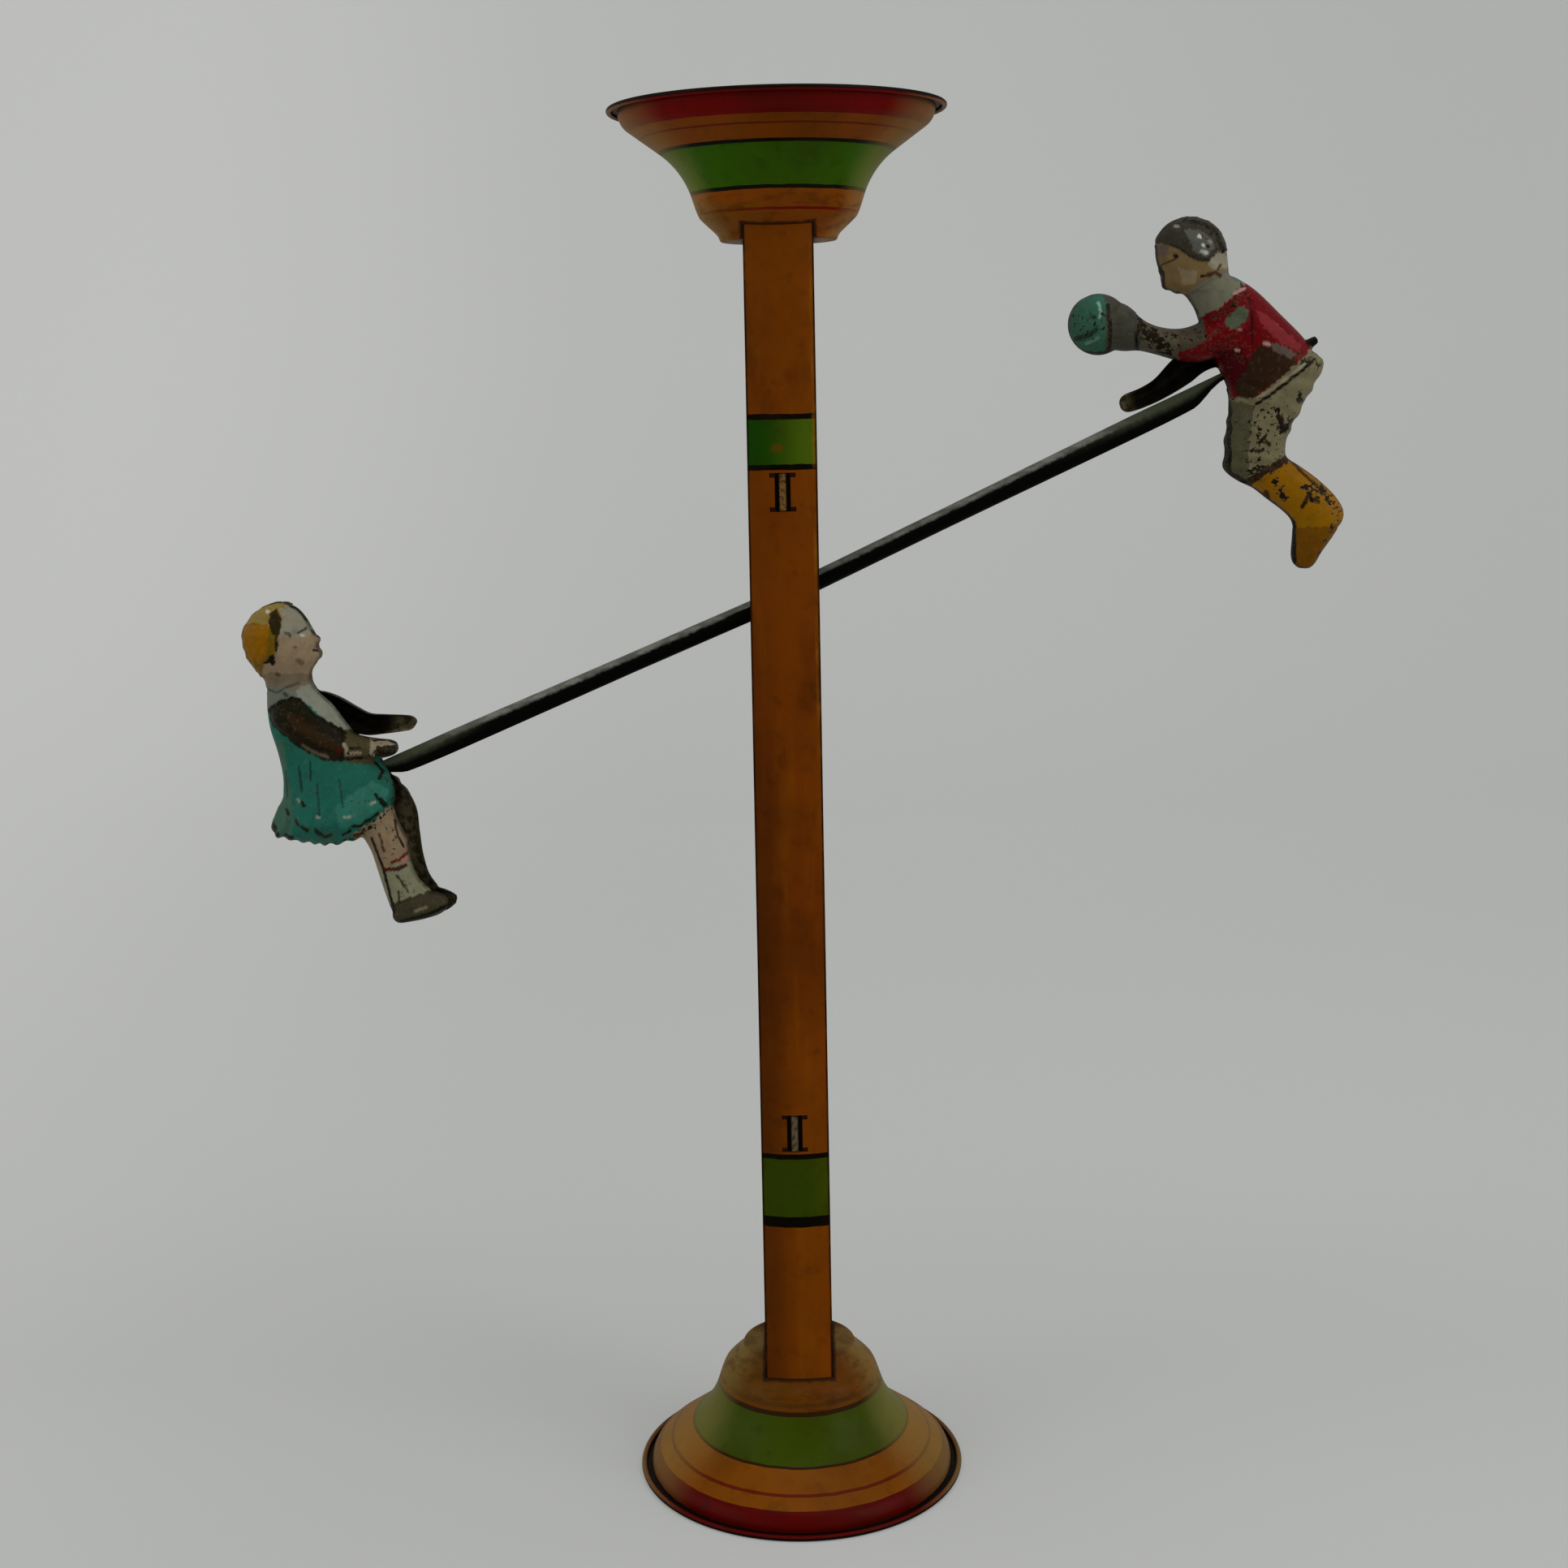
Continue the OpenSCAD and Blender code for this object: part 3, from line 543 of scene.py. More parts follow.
def collar_and_dents(x, y, z, salt):
    """A bell's point with the collar round its hole raised, and slightly dented."""
    if z > WAIST_Z:
        gap = abs(y) - 16.0 - 1.7*(1 - (x/9.2)**2)
        lip = max(0.0, 1 - max(gap, 0.0)/1.2)*(abs(y) > 14.8)
        z += 0.3*lip*max(0.0, min(1.0, (11.0 - abs(x))/1.5))
    dent = abs(noise.noise(Vector((x, y, z + salt))*0.045)*0.12) if z > 3 else 0.0
    k = 1 - dent/max(1.0, math.hypot(x, y))
    return x*k, y*k, z


def bell(name, top, node):
    bead = [(a, max(b, 0.02)) for a, b in arc((RIM_R - BEAD_R, BEAD_R), BEAD_R, 200, -110, 18)]
    loop = bell_side(0)[::-1] + [(RIM_R - 2.9, BEAD_R + 0.05)] + bead
    loop += [(RIM_R - 3.4, BEAD_R + 0.05 - BELL_T)] + bell_side(BELL_T)
    turns = [2*math.pi*i/BELL_SEGMENTS for i in range(BELL_SEGMENTS)]
    bm = bmesh.new()
    rings = [[bm.verts.new((r*math.cos(t), r*math.sin(t), z)) for t in turns] for r, z in loop]
    bridge(bm, rings + rings[:1])
    turn_out(bm)
    me = cut_by(mesh_from(bm, name), prism(column_outline(HOLE_GAP), WAIST_Z, 60))
    for v in me.vertices:
        x, y, z = collar_and_dents(*v.co, 300 if top else 0)
        v.co = (x/1000, -y/1000, (TOTAL_H - z)/1000) if top else (x/1000, y/1000, z/1000)
    shade(me, 38)
    me.name = name
    link(put_in_scene(name, me), [bell_material(name + "_print", top)], "stand", [node])


bell("lower_bell", False, "base_bell")
bell("upper_bell", True, "top_bell")

# Carried-over metal
column = column_material("column_print")
stop = stop_tin("stop_tin")
tin_in = bare_tin("inner_tin", lin(70, 66, 56), lin(36, 30, 20))
wire = bare_tin("steel_wire", lin(112, 110, 104), lin(60, 52, 42))
LOOKS = ((column, "column_front_panel column_back_panel"),
         (stop, "upper_stop_bracket lower_stop_bracket"),
         (tin_in, "base_lock_plate top_lock_plate front_guide_plate back_guide_plate front_spacer_tube"
                  " back_spacer_tube axle_washers front_pallet_plate back_pallet_plate"),
         (wire, "axle pallet_pins beam_rivets"))
for mt, keys in LOOKS:
    for key in keys.split():
        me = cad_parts[key].data
        me.materials.clear()
        me.materials.append(mt)

# Copies that take the places of the solids' own meshes, a little shallower
for key, name, body, slot, mt in (("column_front_panel", "column_front", "stand", "column_litho", column),
                                  ("column_back_panel", "column_back", "stand", "column_litho", column),
                                  ("upper_stop_bracket", "upper_stop", "stand", "bare_tin", stop),
                                  ("lower_stop_bracket", "lower_stop", "stand", "bare_tin", stop),
                                  ("axle", "axle_wire", "carriage", "steel_wire", wire)):
    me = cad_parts[key].data.copy()
    me.name = name
    me.materials.clear()
    for v in me.vertices:
        v.co.y = shallow(v.co.y*1000)/1000
    link(put_in_scene(name, me), [mt], body, [key])

# Beam
# Distance from the pivot, top, bottom, half thickness and squareness of a section
BEAM = sections("""
0 2.6 -2.6 2.6 1, 20 2.6 -2.6 2.6 1, 45 2.6 -2.6 2.6 1, 62 2.66 -2.68 2.45 1, 78 2.76 -2.8 2.1 0.96,
92 2.82 -2.9 1.6 0.9, 102 2.85 -2.95 1.1 0.8, 108 2.8 -2.95 0.74 0.66, 111 2.75 -2.92 0.61 0.6,
115 2.72 -2.84 0.6 0.6, 118 2.7 -2.7 0.6 0.6, 119.6 2.69 -2.3 0.6 0.6, 121 2.68 -1.7 0.6 0.6,
122.6 2.66 -1 0.6 0.6, 124 2.65 -0.3 0.6 0.6, 125.6 2.63 0.2 0.6 0.6, 127 2.62 0.6 0.6 0.6,
129 2.6 0.8 0.6 0.6, 133 2.6 0.8 0.6 0.6""")
BEAM_RISE, LEAF_FROM, LEAF_SPAN, BEAM_SIDES = math.radians(1.2), 88, 18, 32
BORES = ((0, 1.05), (-5, 0.62), (5, 0.62))


def beam_rows():
    """The beam's sections from tip to tip; the left arm is 6 mm shorter and has a blunter tip."""
    left = [(x - (6 if x > 60 else 0), *r) for x, *r in BEAM]
    left = [r for r in left if r[0] < 122.5] + [(122.0, 2.6, 0.8, 0.6, 0.6)]
    return [(-1, *r) for r in sorted(left, key=lambda r: -r[0])] + [(1, *r) for r in BEAM[1:]]


def beam_piece():
    c, s = math.cos(TILT), math.sin(TILT)
    bm = bmesh.new()
    up_l = bm.verts.layers.float.new("up")
    leaf_l = bm.verts.layers.float.new("leaf")
    rings = []
    for side, x, hi, lo, t, e in beam_rows():
        ring = []
        for i in range(BEAM_SIDES):
            a = 2*math.pi*i/BEAM_SIDES
            ca, sa = math.cos(a), math.sin(a)
            y = t*math.copysign(abs(ca)**e, ca)
            up = math.copysign(abs(sa)**e, sa)
            z = (hi + lo)/2 + (hi - lo)/2*up
            px = side*(x*math.cos(BEAM_RISE) - (z*math.sin(BEAM_RISE) if x else 0))
            pz = x*math.sin(BEAM_RISE) + z*math.cos(BEAM_RISE)
            v = bm.verts.new(((px*c - pz*s)/1000, y/1000, (px*s + pz*c + PIVOT_Z)/1000))
            v[up_l] = up
            v[leaf_l] = max(0.0, min(1.0, (x - LEAF_FROM)/LEAF_SPAN))
            ring.append(v)
        rings.append(ring)
    bridge(bm, rings)
    cap(bm, rings)
    turn_out(bm)
    cut = bmesh.new()
    for x, r in BORES:
        at = Vector((x*c/1000, 0, (x*s + PIVOT_Z)/1000))
        bmesh.ops.create_cone(cut, cap_ends=True, segments=24, radius1=r/1000, radius2=r/1000, depth=0.012,
                              matrix=Matrix.Translation(at) @ Matrix.Rotation(math.radians(90), 4, "X"))
    me = cut_by(mesh_from(bm, "beam_tube"), mesh_from(cut, "bores"))
    shade(me, 50)
    link(put_in_scene("beam_tube", me), [beam_material("beam_black")], "seesaw", ["beam"])


beam_piece()

# Riders
HEAD_TILT = 25  # degrees, as in the heads' sections

# A section is (x, z, tilt, half width, half depth), in mm in the beam's level frame.
GIRL_HEAD = sections("""
-129.8 36.5 -25 6.3 5.6, -129.6 39.5 -25 7.3 6.6, -128.5 42.2 -25 9.2 8.2, -127.9 44.5 -25 9.8 8.8,
-126.9 48 -25 9.9 9.2, -126.2 50.3 -25 9.1 8.6, -124.9 53 -25 7.4 6.8, -123.6 55 -25 5.1 4.6,
-122.5 56.2 -25 2.2 2""")
GIRL_BODY = sections("""
-129.8 37.5 -25 6.2 5.6, -130.1 33.7 -25 6.9 6.4, -130.1 29.1 -21 8.8 8, -130.3 23.5 -20 10.3 8.6,
-130 16.4 -19 11.7 8.6, -129.4 9.8 -18 13.9 9.2, -130.6 5 -16 15 10.2, -132.7 1.7 -16 16.2 11,
-135.4 -1.9 -12 17 11.4, -136 -5.2 -14 12.8 9, -135 -8.6 -14 6.5 5""")
GIRL_NEAR_ARM = sections("""
-134.9 31.6 20 2.8 6.5, -134.2 29 25 4.2 9.2, -131.6 23.9 32 4.5 9.8, -127.9 18.9 42 4.2 9.6,
-123.8 14.9 50 3.8 8.6, -119.9 12.1 57 3.2 7.4, -115.7 9.9 64 2.7 6.6, -112.2 8.6 70 2 5.8,
-110.9 8.2 72 0.9 4.6""")
GIRL_FAR_ARM = sections("""
-129.5 30.5 20 3.6 8.2, -126 28 30 3.8 8.6, -122.6 25.2 32 3.3 8.6, -119.5 20.9 38 3.3 8,
-116.1 17.2 54 3 7.4, -111.7 15.2 66 2.6 6.6, -107.2 13.4 68 2.2 5.8, -105 12.5 68 1.8 5.2,
-104 12.1 68 0.8 4""")
GIRL_NEAR_LEG = sections("""
-124.9 0 0 6.2 8, -124.9 -5 2 5.8 7.6, -124.9 -10 0 5.2 7, -124.8 -15 -7 5.1 6.6,
-125.9 -20.2 -10 4.7 6.2, -126.5 -25.6 -7 4.9 6, -126.1 -30.5 3 5.9 6.2, -126 -32.5 8 6 6""")
GIRL_NEAR_FOOT = sections("""
-131.7 -32.3 67 1.8 3.8, -130.1 -33 60 2.8 5.2, -126.5 -33.4 62 3.5 5.8, -123.4 -33.9 64 3.7 5.8,
-119.8 -34.9 68 3.1 5, -117.9 -35.6 66 2 3.8, -117 -35.9 66 0.8 2.2""")
GIRL_FAR_LEG = sections("""
-120.2 4 0 3.4 7.4, -118.4 -2 -8 4 7.6, -118.2 -8.5 -8 4.2 7.2, -119.6 -14 -14 3.8 6.6,
-121.3 -19.4 -20 3.8 6.2, -122.4 -25.4 -16 3.8 6, -122.2 -30.3 -8 4.2 6""")
GIRL_FAR_FOOT = sections("""
-126.8 -32.2 64 1.8 3.8, -124.6 -32.6 62 3 5.2, -120.3 -34 64 3.5 5.8, -117.1 -35.5 60 2.5 4.6,
-115 -36.1 62 1 2.4""")
BOY_HEAD = sections("""
137.4 46.8 -25 2 1.8, 137.1 45.9 -25 4.4 4, 136.5 44.5 -25 6.6 6, 135.5 42.3 -25 8.3 7.6,
134.4 39.4 -25 9.1 8.5, 133.5 36.4 -25 9.2 8.8, 132.8 33.2 -25 8.9 8.4, 132.5 30.3 -25 9.2 7.6,
134 27.6 -20 8.2 6.8""")
BOY_BODY = sections("""
134.4 30 -14 7.4 6.6, 136.2 26.4 -8 7.6 7, 137.5 22.7 -9 8.5 8.2, 138.6 16.1 -11 10.3 9,
140 9.2 -13 11.9 9.2, 140.4 4.7 -9 11.9 9, 141.2 0.7 -6 12.7 9.4, 139.5 -3.3 -3 12.9 9.4,
136.5 -6.5 -5 11.3 8.8, 132.1 -10.7 -13 9.1 8, 129.2 -14.6 -10 8.4 7.4, 127.5 -18.3 -9 8.2 7,
128.6 -21.2 -1 7.2 6.4, 131.2 -24.8 -4 7.1 6, 133.6 -29.3 -6 7.3 5.8, 136 -34.7 -11 7.2 5.6,
136.4 -38.9 -17 6.8 5.6, 133.6 -42.4 -20 5.5 5.2, 130.1 -45.9 -20 4 4.4, 128.4 -48.2 -26 2.8 3.2,
127.9 -49.4 -26 1.4 1.6""")
BOY_NEAR_ARM = sections("""
138.2 16 80 6.5 8.6, 135.5 15.8 75 7.2 9.8, 131.5 16.3 69 6 9.6, 126.1 16.4 67 5.1 8.8,
121.3 18.3 61 4.1 7.6, 116.9 21.5 56 3.6 6.8, 113.7 24.4 56 4 6.8, 111.4 26.8 54 5.4 7.4,
109.5 28.8 55 6.1 8, 107 30.6 57 5.9 6.6""")
BOY_FAR_ARM = sections("""
131.5 12.5 98 5 8, 127 13 100 4.4 7.8, 123.4 12.6 102 4 7.6, 118.7 11.2 106 3.8 7,
112.8 9.7 98 2.9 6.2, 107.8 9.4 88 2.6 5.8, 103.2 9.8 82 2.4 5, 101.7 9.9 82 1.4 3.8""")
BOY_SEAT_TAB = sections("""
149 3.4 90 1.3 1.9, 152.5 3.9 90 1.3 1.7, 154.8 4.2 90 1 1.4""")
BALL = [(104.8, 31.7 + 8*math.sin(math.radians(a)), 0, 8*math.cos(math.radians(a)),
         8*math.cos(math.radians(a))) for a in range(-80, 81, 10)]


def smooth_sections(st, k=4):
    """Catmull-Rom between the sections, so that a limb bends evenly."""
    s = np.array(st, float)
    out = []
    for i in range(len(s) - 1):
        p0, p1, p2, p3 = s[max(i - 1, 0)], s[i], s[i + 1], s[min(i + 2, len(s) - 1)]
        for j in range(k):
            t = j/k
            v = 0.5*(2*p1 + (p2 - p0)*t + (2*p0 - 5*p1 + 4*p2 - p3)*t*t + (3*p1 - p0 - 3*p2 + p3)*t**3)
            v[3:] = np.minimum(np.maximum(v[3:], np.minimum(p1, p2)[3:]), np.maximum(p1, p2)[3:]*1.01)
            out.append(v)
    return out + [s[-1]]


def add_loft(bm, st, n=28):
    rings = []
    for x, z, t, w, d in smooth_sections(st):
        ct, sn = math.cos(math.radians(t)), math.sin(math.radians(t))
        ring = []
        for i in range(n):
            a = 2*math.pi*(i + 0.5)/n
            u, y = w*math.cos(a), d*math.sin(a)
            ring.append(bm.verts.new((x + u*ct, y, z + u*sn)))
        rings.append(ring)
    bridge(bm, rings)
    cap(bm, rings)


def add_blob(bm, c, r, seg=20):
    rot = Matrix.Rotation(math.radians(HEAD_TILT), 4, "Y")
    mt = Matrix.Translation(c) @ rot @ Matrix.Diagonal((*r, 1.0))
    bmesh.ops.create_uvsphere(bm, u_segments=seg, v_segments=seg//2, radius=1.0, matrix=mt)


def inside_poly(p, poly):
    """Even-odd test of many points at once."""
    x, y = p[:, 0], p[:, 1]
    hit = np.zeros(len(p), bool)
    for (x0, y0), (x1, y1) in zip(poly, poly[1:] + poly[:1]):
        if y0 != y1:
            hit ^= ((y0 > y) != (y1 > y)) & (x < (x1 - x0)*(y - y0)/(y1 - y0) + x0)
    return hit


def edge_dist(p, line):
    """Distance in px from each point to an open line."""
    best = np.full(len(p), 1e9)
    for (x0, y0), (x1, y1) in zip(line, line[1:]):
        dx, dy = x1 - x0, y1 - y0
        t = np.clip(((p[:, 0] - x0)*dx + (p[:, 1] - y0)*dy)/(dx*dx + dy*dy + 1e-9), 0, 1)
        best = np.minimum(best, np.hypot(p[:, 0] - x0 - t*dx, p[:, 1] - y0 - t*dy))
    return best


def near(p, line, reach):
    """1 on a line, falling to 0 at the reach."""
    return np.clip(1 - edge_dist(p, line)/reach, 0, 1)


def to_world(v):
    """Level frame in mm to the object's frame in mm."""
    c, s = math.cos(TILT), math.sin(TILT)
    w = np.array(v, float)
    w[:, 0] = v[:, 0]*c - v[:, 2]*s
    w[:, 2] = v[:, 0]*s + v[:, 2]*c + READ_Z
    return w


def ripple(p, scale, seed):
    """Smooth noise at each point."""
    return np.array([noise.noise(Vector((a*scale + seed, b*scale, seed*0.37))) for a, b in p])


RIDER_BOXES = [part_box(k) for k in ("girl_near_half", "girl_far_half", "boy_near_half", "boy_far_half")]
X_LOW, X_HIGH = min(b[0].x for b in RIDER_BOXES), max(b[1].x for b in RIDER_BOXES)
VOXEL, SEAM, LEAF_ROOM, SEAM_SHADE_DEPTH = 0.42, 0.05, 0.72, 2.6


def solid_half(lofts, blobs):
    """The figure as one skin, cut at the seam: the half with y < 0, with the cut open."""
    bm = bmesh.new()
    for st in lofts:
        add_loft(bm, st)
    for b in blobs:
        add_blob(bm, *b)
    turn_out(bm)
    ob = put_in_scene("temp", mesh_from(bm, "lofts"))
    r = ob.modifiers.new("skin", "REMESH")
    r.mode, r.voxel_size = "VOXEL", VOXEL
    s = ob.modifiers.new("soften", "SMOOTH")
    s.factor, s.iterations = 0.5, 3
    me = applied(ob)
    bm = bmesh.new()
    bm.from_mesh(me)
    bpy.data.meshes.remove(me)
    bmesh.ops.bisect_plane(bm, geom=bm.verts[:] + bm.edges[:] + bm.faces[:], dist=1e-5,
                           plane_co=(0, -SEAM, 0), plane_no=(0, 1, 0), clear_outer=True)
    bmesh.ops.delete(bm, geom=[v for v in bm.verts if not v.link_faces], context="VERTS")
    bm.normal_update()
    return bm


def rider(name, node, far, lofts, blobs, paint, sculpt, slot, outside, inside, notch, tin, seam_shade):
    bm = solid_half(lofts, blobs)
    co = np.array([v.co[:] for v in bm.verts])
    no = np.array([v.normal[:] for v in bm.verts])
    px = photo_px(to_world(co))
    # Pressed detail, fading out at the seam, and room for the beam's flat end
    depth = -co[:, 1]
    new = co + no*(sculpt(px)*np.clip((depth - SEAM)/1.2, 0, 1))[:, None]
    edge_y = -SEAM - 0.01
    new[:, 1] = np.where(co[:, 1] > edge_y, co[:, 1], np.minimum(new[:, 1], edge_y))
    x0, x1, z0, z1 = notch
    hit = (new[:, 0] > x0) & (new[:, 0] < x1) & (new[:, 2] > z0) & (new[:, 2] < z1)
    new[:, 1] = np.where(hit, np.minimum(new[:, 1], -LEAF_ROOM), new[:, 1])
    # Paint, with painted shade darkening what faces away close to the seam
    col, wear, gloss = paint(px, far)
    edge = np.clip((0.78 - np.abs(no[:, 1]))/0.34, 0, 1)*np.clip((SEAM_SHADE_DEPTH - np.abs(depth))/1.2, 0, 1)
    edge = (seam_shade*edge*np.clip(0.75 + 0.8*ripple(px, 0.15, 4.2), 0.15, 1))[:, None]
    col = col*(1 - edge) + np.array(lin(9, 8, 4)[:3])*edge
    w = to_world(new)/1000
    w[:, 0] = np.clip(w[:, 0], X_LOW, X_HIGH)
    if far:
        w[:, 1] *= -1
        bmesh.ops.reverse_faces(bm, faces=bm.faces)
    for v, p in zip(bm.verts, w):
        v.co = p
    me = mesh_from(bm, name)
    ca = me.color_attributes.new("paint", "FLOAT_COLOR", "POINT")
    rgba = np.concatenate([col, np.ones((len(col), 1))], 1)
    ca.data.foreach_set("color", rgba.astype(np.float32).ravel())
    for nm, arr in (("wear", wear), ("gloss", gloss)):
        me.attributes.new(nm, "FLOAT", "POINT").data.foreach_set("value", arr.astype(np.float32))
    shade(me)
    me.materials.append(outside)
    me.materials.append(inside)
    ob = put_in_scene("temp", me)
    so = ob.modifiers.new("tin", "SOLIDIFY")
    so.thickness, so.offset, so.thickness_clamp = tin/1000, -1.0, 0.9
    so.material_offset, so.material_offset_rim = 1, 0
    so.use_even_offset = False
    me = applied(ob)
    me.name = name
    ob = put_in_scene(name, me)
    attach(ob, "seesaw")
    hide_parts(node)


def crop(ox, oy, k):
    """From points in an enlarged crop of the picture to picture pixels."""
    return lambda pts: [(ox + a/k, oy + b/k) for a, b in pts]


girl_crop = crop(270, 720, 3.647)
boy_crop = crop(1290, 250, 3.336)


def painter(base, conv, zones, far_zones, lines, wears):
    """Rows are colour, gloss, outline; colour, half width, line; amount of wear, reach, line."""
    def paint(px, far):
        jit = np.stack([ripple(px, 0.18, 3.1), ripple(px, 0.18, 7.7)], 1)*2.6
        p = px + jit
        col = np.tile(np.array(lin(*base)[:3]), (len(p), 1))
        gloss = np.full(len(p), 0.3)
        for c, g, poly in zones + (far_zones if far else []):
            hit = inside_poly(p, conv(poly))
            col[hit] = lin(*c)[:3]
            gloss[hit] = g
        for c, w, line in lines:
            k = np.clip((w - edge_dist(px + jit*0.35, conv(line)))/0.9 + 0.5, 0, 1)[:, None]
            col = col*(1 - k) + np.array(lin(*c)[:3])*k
        wear = np.zeros(len(p))
        for (amount,), reach, line in wears:
            wear = np.maximum(wear, amount*near(px, conv(line), reach))
        return col, wear, gloss
    return paint


def pressed(px, conv, rows):
    """The grooves (depth below 0) and ridges that follow lines."""
    return sum(depth*near(px, conv(line), reach) for (depth,), reach, line in rows)


GIRL_HAIR = (
    "40,20 300,20 345,80 312,98 270,112 276,150 280,190 270,232 262,268 250,300 250,352 205,352"
    " 190,400 196,450 120,440 40,300")
GIRL_ZONES = table(f"""
128 110 86|0.4|150,60 400,40 560,230 520,420 430,480 150,480
118 115 98|0.4|278,123 319,60 440,140 440,214 392,232 328,240 278,232
104 92 72|0.3|170,400 430,400 440,480 200,480
92 96 84|0.4|190,450 300,462 345,478 372,520 340,545 260,565 190,570
116 118 104|0.4|345,478 419,438 500,498 560,574 600,650 540,650 500,622 419,560 360,512
24 21 9|0.3|215,560 262,524 350,506 440,590 540,640 590,660 600,800 470,792 380,748 300,690 240,640
40 26 10|0.3|300,570 360,590 470,680 560,730 550,770 440,720 330,650
40 100 84|0.5|520,1000 690,880 760,920 740,1000 640,1070 540,1100
62 56 34|0.2|566,650 700,660 706,810 570,800
122 112 90|0.3|676,670 860,680 850,790 676,770
34 27 14|0.2|700,728 800,722 812,745 790,770 700,775
50 84 68|0.5|200,700 290,700 330,1000 330,1200 200,1200
122 104 80|0.4|600,1120 700,1060 760,1000 900,960 920,1250 700,1300
112 112 88|0.3|690,1290 780,1262 910,1235 1000,1400 780,1470
54 49 34|0.4|760,1440 960,1372 1120,1350 1130,1500 820,1600
98 74 8|0.6|{GIRL_HAIR}
120 100 50|0.5|110,175 130,110 210,60 320,60 330,100 258,116 236,150 226,190 173,178
122 80 0|0.7|112,190 215,186 224,230 216,310 184,352 140,330 108,260
36 28 6|0.3|232,120 262,108 272,150 279,190 272,232 238,232 226,190
20 13 3|0.3|198,356 250,358 248,306 228,318
""")
GIRL_LINES = table("""
16 11 3|2|256,262 260,272
30 24 6|1.6|258,234 256,300
176 170 150|2|216,124 222,127
40 36 10|1.3|205,82 260,76 308,84
34 32 26|1.4|360,217 372,207 392,196
156 154 142|1.7|370,228 380,229
72 68 56|2|296,218 312,222 320,234
84 78 62|1.8|336,282 346,284
40 36 28|1.3|416,208 430,222 447,231
8 7 5|2|441,228 447,232
26 22 18|1.5|424,297 442,299
96 84 64|3|352,340 372,352
74 58 36|2.4|260,404 268,408
24 20 8|1.5|97,300 97,243 117,168 190,99 280,81 350,109 394,160
20 17 11|1.7|685,1139 741,1288 788,1474
14 12 6|2.2|821,1515 933,1487 1073,1420
14 20 14|2.4|236,1066 252,1100
30 20 10|2.2|373,1090 395,1106
44 30 14|2.4|470,1134 500,1130
16 16 10|2.2|560,1122 586,1112
18 22 16|1.8|300,1010 312,1034
40 30 16|1.8|345,1060 356,1084
14 20 14|3|724,966 742,992
22 56 48|1.6|440,900 450,1040
24 60 50|1.4|540,880 556,1000
20 50 42|1.4|360,820 372,930
30 22 14|1.3|790,1060 800,1120 830,1180
70 50 36|1.6|720,1120 740,1200
60 64 54|1.3|212,470 260,486 300,462 360,444
50 54 44|2.2|292,492 304,500
14 12 5|1.6|240,552 330,506 364,518 436,596 529,650 570,668
80 70 56|1.8|376,724 430,756 490,776
60 16 10|2.6|524,744 548,752
132 120 104|2.2|562,716 572,744 570,764
128 116 98|2|586,762 634,758
12 9 5|1.6|540,780 590,784 640,780
20 14 6|1.8|590,738 630,734
12 9 5|1.2|690,700 760,698 800,716 808,736
16 12 6|1.8|700,752 760,756
20 30 24|1|410,800 412,880
28 60 50|1.2|300,840 306,960
130 140 124|1.6|682,986 700,978
120 134 118|1.4|560,1046 590,1044
120 130 112|1.4|436,1044 452,1050
110 116 96|1.6|352,966 360,976
16 18 10|2|372,980 384,996
14 22 16|2|700,942 716,966
22 26 18|2.2|432,1100 458,1130
60 36 14|2.4|610,1126 640,1118
16 18 12|1.8|600,1092 650,1076 716,1030
12 12 8|3.4|236,1118 262,1124
16 18 12|2.2|296,1130 330,1136
78 24 16|1.8|776,1250 812,1236 846,1206
56 20 12|2.4|742,1282 800,1280 838,1262
150 104 92|2.2|826,1240 846,1232
44 42 26|1.5|800,1310 830,1350 850,1384
40 38 24|1.3|806,1380 812,1440
104 98 76|1.8|880,1472 930,1452
20 16 8|2|700,800 736,838 720,870
""")
# On the far half the arm is painted dark, and the leg near black all over as painted shade
GIRL_FAR_ZONES = table("""
36 32 16|0.3|300,380 470,430 640,510 920,520 920,700 560,700 480,640
20 18 12|0.3|740,820 860,860 980,1060 1040,1350 1200,1380 1200,1560 940,1560 900,1250 820,1050
""")
HEM = (
    "225,1090 240,1134 330,1158 430,1174 520,1166 600,1142 690,1090 760,1008 792,950")
GIRL_WEARS = table(f"""
0.62|9|{HEM}
0.5|9|262,1000 232,1110
0.22|50|480,1080 700,960
0.35|24|790,1010 770,1250
0.35|26|840,1330 880,1440
0.4|26|600,740 800,740
0.2|18|205,400 215,560
0.5|10|760,840 790,960
0.25|20|300,560 540,720
""")

BOY_HAIR = (
    "400,0 820,0 820,192 720,196 700,206 662,236 624,236 577,212 548,188 510,174 453,164 400,156")
